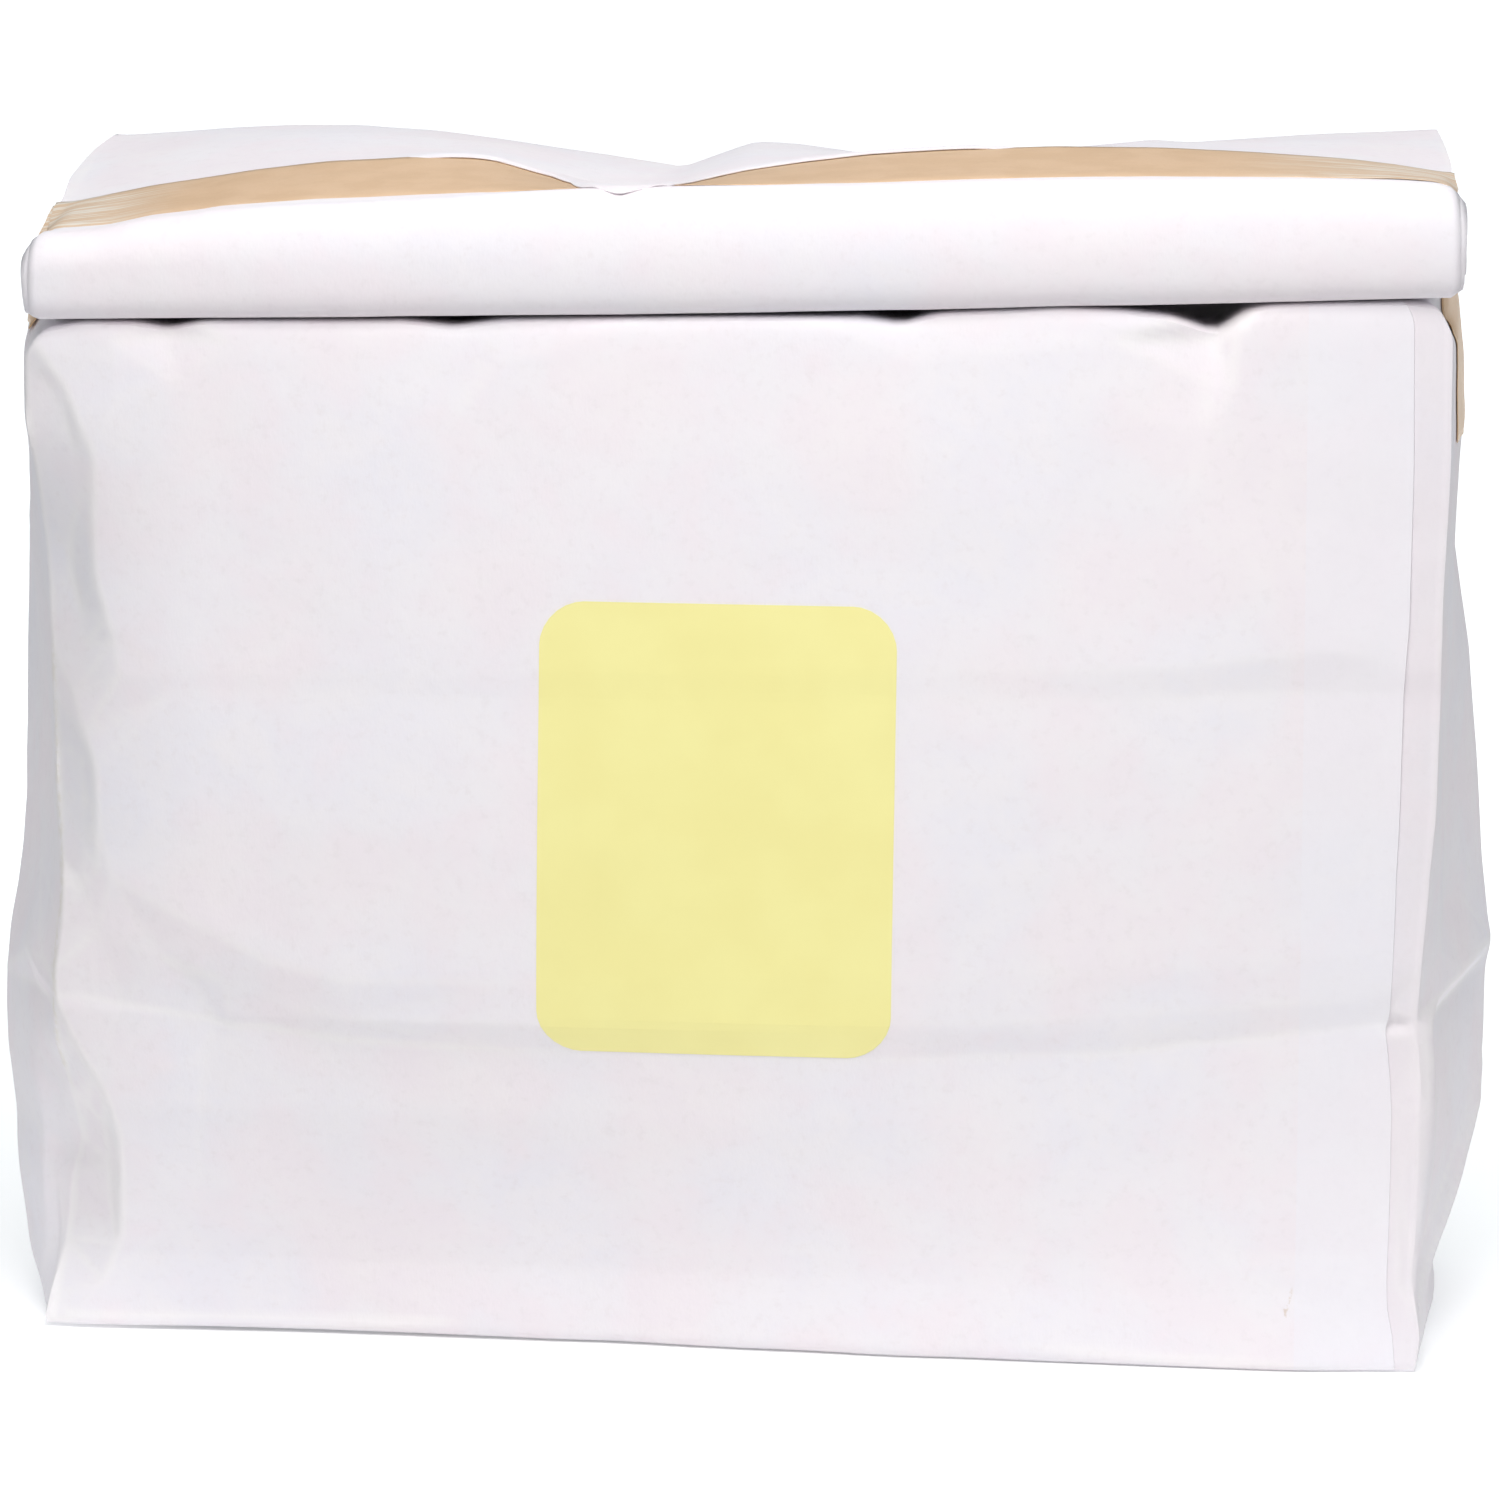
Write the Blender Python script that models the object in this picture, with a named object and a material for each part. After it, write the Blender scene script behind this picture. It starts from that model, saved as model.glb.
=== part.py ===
"""A filled white paper bag of powder, standing on its block bottom.

The bag is a gusseted paper tube. Its mouth is pressed flat, drawn forward over the powder and rolled down
into a flat roll along the front top edge. A strip of buff tape holds the roll down and ends on the two side
gussets, and a plain yellow label sits on the front wall.

Metres, +Z up. The origin is on the floor under the middle of the bag, and the front wall faces -Y.
"""

import math

import bmesh
import bpy

# Driving dimensions of the bag
WIDTH = 0.300  # from side to side, between the creases of the front wall
DEPTH = 0.130  # from front wall to back wall
HEIGHT = 0.250  # mean height of the top sheet
FRONT = -DEPTH / 2
SIDE = WIDTH / 2

# The shoulder, where the front wall turns in under the roll
SHOULDER_LOW = 0.217
SHOULDER_HIGH = 0.2265
SHOULDER_SETBACK = 0.009

# The tape
TAPE_NEAR = -0.050
TAPE_WIDTH = 0.048
TAPE_FAR = TAPE_NEAR + TAPE_WIDTH
TAPE_END_LEFT = 0.2225
TAPE_END_RIGHT = 0.199
SHEET_GAP = 0.0003  # between a stuck sheet and the paper under it
SHEET_THICKNESS = 0.0003

# The label, leaning a little as it was stuck on
LABEL_WIDTH = 0.075
LABEL_HEIGHT = 0.097
LABEL_CORNER = 0.0105
LABEL_X = -0.005
LABEL_Z = 0.118
LABEL_LEAN = math.radians(-0.8)
LABEL_PATCH_X = 0.056  # the front wall's faces that lie this near the label's middle are under it or beside it
LABEL_PATCH_Z = 0.062

# Heights of the top sheet from left to right: at the roll's crest, at the tape's far edge and at the back
# wall. The last two lines have a valley left of the middle, where the sheet is creased.
ROLL_CREST = (
    (-0.150, 0.2420), (-0.144, 0.2436), (-0.116, 0.2480), (-0.068, 0.2505), (-0.025, 0.2523),
    (0.054, 0.2541), (0.118, 0.2540), (0.146, 0.2530), (0.150, 0.2515),
)
TAPE_LINE = (
    (-0.150, 0.2458), (-0.133, 0.2492), (-0.111, 0.2523), (-0.074, 0.2554), (-0.057, 0.2550),
    (-0.044, 0.2516), (-0.030, 0.2478), (-0.013, 0.2504), (0.010, 0.2542), (0.041, 0.2572),
    (0.085, 0.2579), (0.128, 0.2557), (0.150, 0.2528),
)
BACK_RIM = (
    (-0.150, 0.2586), (-0.102, 0.2604), (-0.060, 0.2569), (-0.039, 0.2537), (-0.019, 0.2508),
    (-0.003, 0.2565), (0.025, 0.2534), (0.055, 0.2535), (0.087, 0.2570), (0.150, 0.2600),
)
ROLL_UNDERSIDE = ((-0.150, 0.2257), (0.000, 0.2278), (0.150, 0.2314))

# Where the front wall's two upright creases stand at each height, as a step inward (+) or outward (-)
LEFT_CREASE_IN = (
    (0.000, -0.002), (0.014, -0.001), (0.045, 0.003), (0.081, 0.002), (0.131, 0.0044), (0.176, 0.0024),
    (0.220, 0.000),
)
RIGHT_CREASE_IN = (
    (0.000, 0.003), (0.028, 0.0048), (0.076, 0.0052), (0.104, 0.0035), (0.168, 0.0016), (0.250, 0.0005),
)
# How far the front left crease is pushed back, which makes a slanting corner beside it
LEFT_CREASE_BACK = (
    (0.000, 0.004), (0.040, 0.010), (0.080, 0.002), (0.112, 0.008), (0.190, 0.009), (0.222, 0.000),
)

# How far each gusset stands out beyond the creases, most of all where the powder presses lower down
LEFT_GUSSET_OUT = (
    (0.000, 0.009), (0.012, 0.0128), (0.060, 0.0174), (0.076, 0.0171), (0.100, 0.0135), (0.148, 0.0111),
    (0.180, 0.0100), (0.215, 0.0095), (0.238, 0.0045), (0.250, 0.0025),
)
RIGHT_GUSSET_OUT = (
    (0.000, 0.000), (0.016, 0.0032), (0.032, 0.0074), (0.048, 0.0107), (0.079, 0.0128), (0.103, 0.0106),
    (0.150, 0.0068), (0.180, 0.0032), (0.200, 0.0050), (0.238, 0.002), (0.250, 0.000),
)

# Creases left on the front wall by the bag's flat folding
LOW_CREASE_Z = 0.0715
LOW_CREASE_PULL = 0.035  # how far above and below itself the low crease's slant is felt
LOW_CREASE_RISE = (
    (-0.150, 0.0090), (-0.090, 0.0020), (0.000, -0.0020), (0.090, -0.0010), (0.150, 0.0050),
)
LOW_CREASE_DEPTH = 0.0025
HIGH_CREASE_Z = 0.148
HIGH_CREASE_DEPTH = 0.0012
CREASE_REACH = 0.022
BELLY = 0.0050  # how far the front and back walls swell at their middle
SIDE_REACH = 0.022  # how far in from the sides the upright creases pull the paper along
CREASE_PULL_DEPTH = 0.095  # how far back from the front wall they pull the gussets along

# The bottom: its front edge turns in more and more towards the left, where it stands off the floor
FRONT_EDGE_LIFT = ((-0.150, 0.0032), (-0.095, 0.0030), (-0.030, 0.0018), (0.034, 0.0005), (0.077, 0.0))
FRONT_EDGE_TUCK = (
    (-0.150, 0.018), (-0.095, 0.019), (-0.030, 0.016), (0.034, 0.011), (0.120, 0.005), (0.150, 0.006),
)
FRONT_TUCK_HEIGHT = 0.030
FRONT_LIFT_HEIGHT = 0.060
FRONT_LIFT_DEPTH = 0.035
BACK_TUCK = 0.004
BACK_TUCK_HEIGHT = 0.014

# Where the paper is cut into faces, so that every crease and edge lies along a row of them
CUTS_X = (
    -0.142, -0.128, -0.111, -0.092, -0.074, -0.057, -0.044, -0.030, -0.019, -0.006, 0.010,
    0.025, 0.041, 0.062, 0.085, 0.104, 0.118, 0.134, 0.145,
)
CUTS_Y = (-0.058, TAPE_NEAR, -0.038, -0.026, -0.014, TAPE_FAR, 0.012, 0.026, 0.040, 0.053)
CUTS_Z = (
    0.004, 0.014, 0.028, 0.043, 0.058, LOW_CREASE_Z, 0.085, 0.106, 0.127, HIGH_CREASE_Z, 0.165, 0.182,
    TAPE_END_RIGHT, 0.209, SHOULDER_LOW, TAPE_END_LEFT, SHOULDER_HIGH, 0.238,
)

# The roll's section: depth from the middle of the bag, and height as a share from underside to crest.
# The points behind y = -0.052 lie inside the bag, where the roll joins the top sheet.
ROLL_SECTION = (
    (-0.0635, 0.00), (-0.0670, 0.06), (-0.0692, 0.22), (-0.0700, 0.46), (-0.0692, 0.68), (-0.0665, 0.86),
    (-0.0615, 0.965), (-0.0560, 1.00), (-0.0520, 0.985), (-0.0508, 0.90), (-0.0508, 0.40), (-0.0550, 0.26),
    (-0.0585, 0.16), (-0.0608, 0.03),
)


def along(points, position):
    """The value at a position on a smooth line through (position, value) points."""
    if position <= points[0][0]:
        return points[0][1]
    for (x0, y0), (x1, y1) in zip(points, points[1:]):
        if position <= x1:
            share = (position - x0) / (x1 - x0)
            return y0 + (y1 - y0) * share * share * (3 - 2 * share)
    return points[-1][1]


def ramp(value, start, end):
    """0 before start, 1 after end and a smooth rise between them."""
    share = min(1.0, max(0.0, (value - start) / (end - start)))
    return share * share * (3 - 2 * share)


def fall(value, start, end):
    """A straight fall from 1 at start to 0 at end."""
    return min(1.0, max(0.0, (end - value) / (end - start)))


def top_height(x, y):
    """Height of the top sheet, from its three lines."""
    crest, taped, rim = along(ROLL_CREST, x), along(TAPE_LINE, x), along(BACK_RIM, x)
    if y < TAPE_FAR:
        share = max(0.0, (y - TAPE_NEAR) / TAPE_WIDTH)
        return crest + (taped - crest) * share
    share = (y - TAPE_FAR) / (-FRONT - TAPE_FAR)
    return taped + (rim - taped) * share


def gusset_out(side, y, z):
    """How far a side gusset stands out: most along its middle line, nothing at its creases."""
    middle = along(RIGHT_GUSSET_OUT if side > 0 else LEFT_GUSSET_OUT, z)
    reach = (TAPE_FAR - FRONT) if y < TAPE_FAR else (-FRONT - TAPE_FAR)
    share = min(1.0, abs(y - TAPE_FAR) / reach)
    return middle * (0.35 * (1 - share) + 0.65 * math.cos(share * math.pi / 2))


def front_relief(x, z):
    """How far the front wall is pushed back along its flat-folding creases."""
    low = LOW_CREASE_DEPTH * fall(abs(z - LOW_CREASE_Z), 0.0, CREASE_REACH)
    high = HIGH_CREASE_DEPTH * fall(abs(z - HIGH_CREASE_Z), 0.0, CREASE_REACH) * ramp(x, -0.02, 0.03)
    return low + high


def filled(co):
    """Where a point of the plain box goes once the bag is filled and closed."""
    x, y, z = co
    near_front = fall(y, FRONT, TAPE_NEAR)
    swell = (1 - (x / SIDE) ** 2) * math.sin(math.pi * min(1.0, z / SHOULDER_HIGH))

    # Upward: the top sheet takes its waves, the shoulder follows the roll and the creases run aslant
    top_share = ramp(z, SHOULDER_HIGH, HEIGHT)
    shoulder_rise = along(ROLL_UNDERSIDE, x) - ROLL_UNDERSIDE[1][1]
    new_z = z + shoulder_rise * ramp(z, HIGH_CREASE_Z, SHOULDER_LOW) * (1 - top_share)
    new_z += (top_height(x, y) - HEIGHT) * top_share
    new_z += along(LOW_CREASE_RISE, x) * fall(abs(z - LOW_CREASE_Z), 0.0, LOW_CREASE_PULL)
    near_floor_edge = fall(z, 0.0, FRONT_LIFT_HEIGHT) * fall(y, FRONT, FRONT + FRONT_LIFT_DEPTH)
    new_z += along(FRONT_EDGE_LIFT, x) * near_floor_edge

    # From front to back: the walls swell, fold along their creases and turn in at the shoulder and the bottom
    new_y = y * (1 + BELLY / -FRONT * swell)
    if y < FRONT + 1e-6:
        new_y += front_relief(x, z)
    turn = min(1.0, max(0.0, (z - SHOULDER_LOW) / (SHOULDER_HIGH - SHOULDER_LOW)))
    new_y += SHOULDER_SETBACK * (1 - math.sqrt(1 - turn * turn)) * near_front
    if y < 0:
        new_y += along(FRONT_EDGE_TUCK, x) * fall(z, 0.0, FRONT_TUCK_HEIGHT) ** 2 * fall(y, FRONT, 0.0)
    else:
        new_y -= BACK_TUCK * fall(z, 0.0, BACK_TUCK_HEIGHT) ** 2 * fall(-y, FRONT, 0.0)

    # Sideways: the upright creases wander and the gussets stand out between them
    side = 1 if x > 0 else -1
    near_side = fall(SIDE - abs(x), 0.0, SIDE_REACH)
    step_in = along(RIGHT_CREASE_IN if side > 0 else LEFT_CREASE_IN, z)
    new_x = x - side * step_in * near_side * fall(y, FRONT, FRONT + CREASE_PULL_DEPTH)
    new_x += side * gusset_out(side, y, z) * near_side
    if side < 0:
        new_y += along(LEFT_CREASE_BACK, z) * near_side * near_front
    return new_x, new_y, new_z


def material(name, colour, roughness):
    """A plain surface with the part's colour."""
    made = bpy.data.materials.new(name)
    made.use_nodes = True
    surface = made.node_tree.nodes["Principled BSDF"]
    surface.inputs["Base Color"].default_value = (*colour, 1.0)
    surface.inputs["Roughness"].default_value = roughness
    surface.inputs["Metallic"].default_value = 0.0
    made.diffuse_color = (*colour, 1.0)
    return made


def add_object(name, mesh_builder, finish=None):
    """An object made from a bmesh, linked to the scene."""
    mesh = bpy.data.meshes.new(name)
    mesh_builder.to_mesh(mesh)
    mesh_builder.free()
    made = bpy.data.objects.new(name, mesh)
    bpy.context.scene.collection.objects.link(made)
    if finish:
        mesh.materials.append(finish)
    return made


def box_of_paper():
    """A plain box of the bag's size, cut into rows of faces along every crease."""
    box = bmesh.new()
    bmesh.ops.create_cube(box)
    bmesh.ops.scale(box, vec=(WIDTH, DEPTH, HEIGHT), verts=box.verts)
    bmesh.ops.translate(box, vec=(0, 0, HEIGHT / 2), verts=box.verts)
    for axis, cuts in enumerate((CUTS_X, CUTS_Y, CUTS_Z)):
        normal = [0.0, 0.0, 0.0]
        normal[axis] = 1.0
        for cut in cuts:
            point = [cut * n for n in normal]
            everything = box.verts[:] + box.edges[:] + box.faces[:]
            bmesh.ops.bisect_plane(box, geom=everything, dist=1e-6, plane_co=point, plane_no=normal)
    bmesh.ops.triangulate(box, faces=box.faces, quad_method="FIXED")
    return box


def fill(box):
    """Moves every point of the plain box to its place on the filled bag."""
    for vertex in box.verts:
        vertex.co = filled(vertex.co)
    box.normal_update()


def stuck_sheet(name, wanted, finish):
    """A thin sheet stuck on the bag: the faces that are wanted, lifted a little and given a thickness."""
    box = box_of_paper()
    others = [face for face in box.faces if not wanted(face.calc_center_median(), face.normal)]
    fill(box)
    for vertex in box.verts:
        vertex.co += vertex.normal * SHEET_GAP
    bmesh.ops.delete(box, geom=others, context="FACES")
    sheet = add_object(name, box, finish)
    thickness = sheet.modifiers.new("thickness", "SOLIDIFY")
    thickness.thickness = SHEET_THICKNESS
    thickness.offset = 1.0
    return sheet


def on_tape(centre, normal):
    """True for the faces that the tape covers: a band along the top that ends on both gussets."""
    if not TAPE_NEAR < centre.y < TAPE_FAR:
        return False
    if normal.z > 0.9:
        return True
    lowest = TAPE_END_RIGHT if centre.x > 0 else TAPE_END_LEFT
    return abs(normal.x) > 0.9 and centre.z > lowest


def on_label(centre, normal):
    """True for the front wall's faces that the label touches, and those beside them."""
    return (
        normal.y < -0.9
        and abs(centre.x - LABEL_X) < LABEL_PATCH_X
        and abs(centre.z - LABEL_Z) < LABEL_PATCH_Z
    )


def make_roll():
    """The rolled mouth: its section, drawn from the left end to the right one."""
    roll = bmesh.new()
    rings = []
    for x in (-SIDE, *CUTS_X, SIDE):
        low, crest = along(ROLL_UNDERSIDE, x), along(ROLL_CREST, x)
        rings.append([roll.verts.new((x, y, low + (crest - low) * share)) for y, share in ROLL_SECTION])
    for left, right in zip(rings, rings[1:]):
        for i in range(len(left)):
            j = (i + 1) % len(left)
            roll.faces.new((left[i], left[j], right[j], right[i]))
    roll.faces.new(rings[0])
    roll.faces.new(rings[-1])
    bmesh.ops.recalc_face_normals(roll, faces=roll.faces)
    made = add_object("roll_shape", roll)
    made.hide_render = True
    made.display_type = "WIRE"
    return made


def make_bag(finish):
    """The paper bag with its powder, as one solid, joined to the roll of its own mouth."""
    box = box_of_paper()
    fill(box)
    bag = add_object("paper_bag", box, finish)
    join = bag.modifiers.new("roll", "BOOLEAN")
    join.operation = "UNION"
    join.object = make_roll()
    return bag


def make_label_outline():
    """An upright block with the label's rounded outline."""
    outline = bmesh.new()
    steps = 6
    corners = ((1, 1, 0), (-1, 1, 90), (-1, -1, 180), (1, -1, 270))
    points = []
    for side_x, side_z, start in corners:
        for step in range(steps + 1):
            turn = math.radians(start + 90 * step / steps)
            x = side_x * (LABEL_WIDTH / 2 - LABEL_CORNER) + LABEL_CORNER * math.cos(turn)
            z = side_z * (LABEL_HEIGHT / 2 - LABEL_CORNER) + LABEL_CORNER * math.sin(turn)
            points.append(outline.verts.new((x, FRONT - 0.012, z)))
    face = outline.faces.new(points)
    pushed = bmesh.ops.extrude_face_region(outline, geom=[face])["geom"]
    far = [part for part in pushed if isinstance(part, bmesh.types.BMVert)]
    bmesh.ops.translate(outline, vec=(0, 0.030, 0), verts=far)
    bmesh.ops.recalc_face_normals(outline, faces=outline.faces)
    made = add_object("label_outline", outline)
    made.location = (LABEL_X, 0, LABEL_Z)
    made.rotation_euler = (0, -LABEL_LEAN, 0)
    made.hide_render = True
    made.display_type = "WIRE"
    return made


def make_label(finish):
    """The label: a patch of the front wall's surface, trimmed to the rounded outline."""
    label = stuck_sheet("paper_label", on_label, finish)
    trim = label.modifiers.new("outline", "BOOLEAN")
    trim.operation = "INTERSECT"
    trim.object = make_label_outline()
    return label


def centre_on_floor(parts):
    """Hangs everything on an empty that moves the bottom middle of the parts' box to the origin."""
    view_layer = bpy.context.view_layer
    view_layer.update()
    graph = bpy.context.evaluated_depsgraph_get()
    points = [vertex.co for part in parts for vertex in part.evaluated_get(graph).data.vertices]
    low = [min(point[axis] for point in points) for axis in range(3)]
    high = [max(point[axis] for point in points) for axis in range(3)]
    middle = bpy.data.objects.new("bag_middle", None)
    bpy.context.scene.collection.objects.link(middle)
    for made in list(bpy.context.scene.objects):
        if made is not middle:
            made.parent = middle
    middle.location = (-(low[0] + high[0]) / 2, -(low[1] + high[1]) / 2, -low[2])


def main():
    for old in list(bpy.data.objects):
        bpy.data.objects.remove(old)
    bag = make_bag(material("white_paper", (0.87, 0.85, 0.87), 0.80))
    tape = stuck_sheet("closing_tape", on_tape, material("buff_tape", (0.72, 0.54, 0.35), 0.35))
    label = make_label(material("yellow_label", (0.90, 0.85, 0.38), 0.60))
    centre_on_floor((bag, tape, label))


main()
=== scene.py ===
# %% [markdown]
# # A filled paper sack
#
# A white kraft paper bag of powder stands on its block bottom. Its mouth is pressed flat and rolled up
# along the front top edge, a strip of buff tape holds the roll, and a yellow label is stuck on the front
# wall. This lesson dresses the plain solids of the part: it makes the paper as one finely cut box whose
# points are then moved like soft clay, the roll as a flat sheet that is wound up, and the tape and the
# label as thin sheets that lie on it.

# %% The frame
import math

import bmesh
import bpy
import numpy as np
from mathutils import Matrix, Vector, bvhtree, geometry


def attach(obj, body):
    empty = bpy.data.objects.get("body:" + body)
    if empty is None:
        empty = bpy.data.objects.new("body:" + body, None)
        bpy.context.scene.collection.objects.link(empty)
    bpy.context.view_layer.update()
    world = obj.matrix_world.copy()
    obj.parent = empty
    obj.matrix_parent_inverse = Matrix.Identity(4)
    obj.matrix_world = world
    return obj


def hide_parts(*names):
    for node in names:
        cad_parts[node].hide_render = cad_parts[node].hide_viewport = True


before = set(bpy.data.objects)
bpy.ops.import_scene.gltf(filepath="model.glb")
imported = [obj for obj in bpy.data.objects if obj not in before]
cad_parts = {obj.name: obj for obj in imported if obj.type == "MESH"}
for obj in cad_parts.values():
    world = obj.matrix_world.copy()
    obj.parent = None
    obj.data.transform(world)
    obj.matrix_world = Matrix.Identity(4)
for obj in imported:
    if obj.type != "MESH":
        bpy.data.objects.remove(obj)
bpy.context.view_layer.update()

# %% [markdown]
# ## Sizes
#
# The tables below are in millimetres, because paper is thought of in millimetres. They are measured from
# the middle of the bag's front wall, and the frame's origin lies a little to the left of that, so every
# finished mesh is moved by SHIFT.

# %% Driving dimensions
MM = 0.001
SIDE, FRONT, BACK, HEIGHT = 150.0, -65.0, 65.0, 250.0
TAPE_NEAR, TAPE_FAR = -50.0, -2.0
SHIFT = Vector((2.81, 0.30, 0.0)) * MM
print("the bag is folded from a box of", 2 * SIDE, "by", BACK - FRONT, "by", HEIGHT, "mm")

# %% [markdown]
# ## The camera
#
# The photograph was taken with a long lens from just above the bag and a little to its right. A camera that
# looks at a point needs only that point, two angles and a distance.

# %% Camera
LENS, DISTANCE, ELEVATION, AZIMUTH = 150.0, 1.385, 8.5, 3.0
TARGET = Vector((-1.0, 0.0, 125.3)) * MM + SHIFT


def look_from(distance, elevation, azimuth):
    """A place at that distance from the target, and the turn of a camera that looks back at the target."""
    up, around = math.radians(elevation), math.radians(azimuth)
    away = Vector((math.sin(around) * math.cos(up), -math.cos(around) * math.cos(up), math.sin(up)))
    return TARGET + away * distance, away.to_track_quat("Z", "Y").to_euler()


bpy.ops.object.select_all(action="DESELECT")
place, turn = look_from(DISTANCE, ELEVATION, AZIMUTH)
bpy.ops.object.camera_add(location=place, rotation=turn)
camera = bpy.context.object
camera.data.lens = LENS
camera.data.clip_start, camera.data.clip_end = 0.05, 60.0
bpy.context.scene.camera = camera
print("the camera stands at", tuple(round(c, 3) for c in camera.location))

# %% [markdown]
# ## Lines and fold maps
#
# Two tools shape the paper. A *line* gives a height or a step along one direction: straight pieces between
# a few points, with their corners rounded. A *fold map* gives a depth all over a wall: the creases are
# drawn as lines of points, the ground between them is filled with flat triangles, and the edges are rounded
# a little. Paper bends just so, in flat facets that meet in creases, which is why a plain noise never looks
# like paper.

# %% Lines
STEP = 0.5  # the spacing of every line's and map's own samples


def blurred(samples, sigma, axis=0):
    """Samples rounded with a bell-shaped window along one axis. Sigma is in samples."""
    if sigma < 0.3:
        return samples
    reach = int(3 * sigma) + 1
    window = np.exp(-0.5 * (np.arange(-reach, reach + 1) / sigma) ** 2)
    window /= window.sum()
    padded = np.pad(samples, [(reach, reach) if a == axis else (0, 0) for a in range(samples.ndim)], "edge")
    return np.apply_along_axis(lambda row: np.convolve(row, window, "valid"), axis, padded)


def line(points, rounding=4.0):
    """A function that follows (place, value) points in straight pieces, with its corners rounded."""
    places, values = np.array(points, float).T
    grid = np.arange(places[0] - 20, places[-1] + 20, STEP)
    eased = blurred(np.interp(grid, places, values), rounding / STEP)
    return lambda where: np.interp(where, grid, eased)


def ramp(value, start, end):
    """0 before start, 1 after end and a smooth rise between them."""
    share = np.clip((value - start) / (end - start), 0, 1)
    return share * share * (3 - 2 * share)


def fall(value, start, end):
    """A straight fall from 1 at start to 0 at end."""
    return np.clip((end - value) / (end - start), 0, 1)


def band(value, low, high, soft):
    """1 between low and high, 0 outside, with soft edges."""
    return ramp(value, low, low + soft) * ramp(-value, -high, -high + soft)


print("after a quarter of its way a ramp has risen to", round(float(ramp(0.25, 0, 1)), 2))


# %% Fold maps
def cockle(shape, seed, *scales):
    """Soft uneven ground from blurred seeded noise. Each scale is (size, height) in millimetres."""
    ground = np.zeros(shape)
    for size, height in scales:
        seed += 1
        noise = np.random.default_rng(seed).standard_normal(shape)
        noise = blurred(blurred(noise, size / STEP, 0), size / STEP, 1)
        ground += noise * height / noise.std()
    return ground


class FoldMap:
    """Depths over a wall, in millimetres, from creases drawn as lines of (across, up, depth) points.

    A point that an earlier crease has already drawn is given again without its depth.
    """

    def __init__(self, across, up, creases, rounding=0.9, scales=(), seed=1):
        self.low = np.array([across[0], up[0]], float)
        shape = [int((high - low) / STEP) + 1 for low, high in (across, up)]
        corners = [(a, b, 0.0) for a in across for b in up]
        spots, joins = {}, []
        for crease in list(creases) + [[corner] for corner in corners]:
            keys = [(float(point[0]), float(point[1])) for point in crease]
            for key, point in zip(keys, crease):
                spots.setdefault(key, point[-1])
            joins += zip(keys, keys[1:])
        order = {key: i for i, key in enumerate(spots)}
        made = geometry.delaunay_2d_cdt(
            [Vector(key) for key in spots], [(order[a], order[b]) for a, b in joins], [], 0, 1e-5
        )
        depths, keys = list(spots.values()), list(spots)
        points = np.array([[*co] for co in made[0]])
        heights = np.array([depths[came[0]] if came else np.nan for came in made[3]])
        if np.isnan(heights).any():
            raise ValueError(f"creases cross at {points[np.isnan(heights)]}")
        ground = np.zeros(shape)
        for face in made[2]:
            self.fill(ground, points[list(face)], heights[list(face)])
        self.sharp = ground
        self.ground = blurred(blurred(ground, rounding / STEP, 0), rounding / STEP, 1)
        self.ground += cockle(shape, seed, *scales)

    def fill(self, ground, corner, height):
        """Writes one flat triangle's depths into the ground."""
        first = np.floor((corner.min(0) - self.low) / STEP).astype(int)
        last = np.ceil((corner.max(0) - self.low) / STEP).astype(int) + 1
        first, last = np.maximum(first, 0), np.minimum(last, ground.shape)
        places = (np.arange(f, l) * STEP + low for f, l, low in zip(first, last, self.low))
        a, b = np.meshgrid(*places, indexing="ij")
        (x0, y0), (x1, y1), (x2, y2) = corner
        area = (x1 - x0) * (y2 - y0) - (x2 - x0) * (y1 - y0)
        if abs(area) < 1e-9:
            return
        share1 = ((a - x0) * (y2 - y0) - (x2 - x0) * (b - y0)) / area
        share2 = ((x1 - x0) * (b - y0) - (a - x0) * (y1 - y0)) / area
        inside = (share1 > -1e-6) & (share2 > -1e-6) & (share1 + share2 < 1 + 1e-6)
        part = ground[first[0]:last[0], first[1]:last[1]]
        value = height[0] + share1 * (height[1] - height[0]) + share2 * (height[2] - height[0])
        part[inside] = value[inside]

    def read(self, ground, across, up):
        """The ground's value at many places at once, blended between the four samples around each."""
        u = np.clip((across - self.low[0]) / STEP, 0, ground.shape[0] - 1.001)
        v = np.clip((up - self.low[1]) / STEP, 0, ground.shape[1] - 1.001)
        i, j = u.astype(int), v.astype(int)
        u, v = u - i, v - j
        near = ground[i, j] * (1 - v) + ground[i, j + 1] * v
        far = ground[i + 1, j] * (1 - v) + ground[i + 1, j + 1] * v
        return near * (1 - u) + far * u

    def __call__(self, across, up):
        """The depth at many places at once."""
        return self.read(self.ground, across, up)

    def wear(self):
        """How sharply the paper is bent at each sample, from 0 to 1: creases get paler there from wear and a
        painted highlight.
        """
        bend = sum(np.abs(np.gradient(np.gradient(self.sharp, axis=axis), axis=axis)) for axis in (0, 1))
        bend = blurred(blurred(bend, 0.5 / STEP, 0), 0.5 / STEP, 1)
        return np.clip(bend / (STEP * 0.12), 0, 1)


roof = FoldMap((0, 40), (0, 40), (((0, 20, 5), (40, 20, 5)),))
half_way = roof(np.array([20]), np.array([10]))[0]
print("a fold map with one crease 5 mm deep is", round(float(half_way), 2), "mm deep half way to its edge")


# %% [markdown]
# ## The paper's main lines
#
# These are the heights and steps that the eye reads first, measured on the photograph: the wavy top sheet,
# the shoulder under the roll, the wandering upright creases and the gussets that the powder pushes out.

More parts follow.
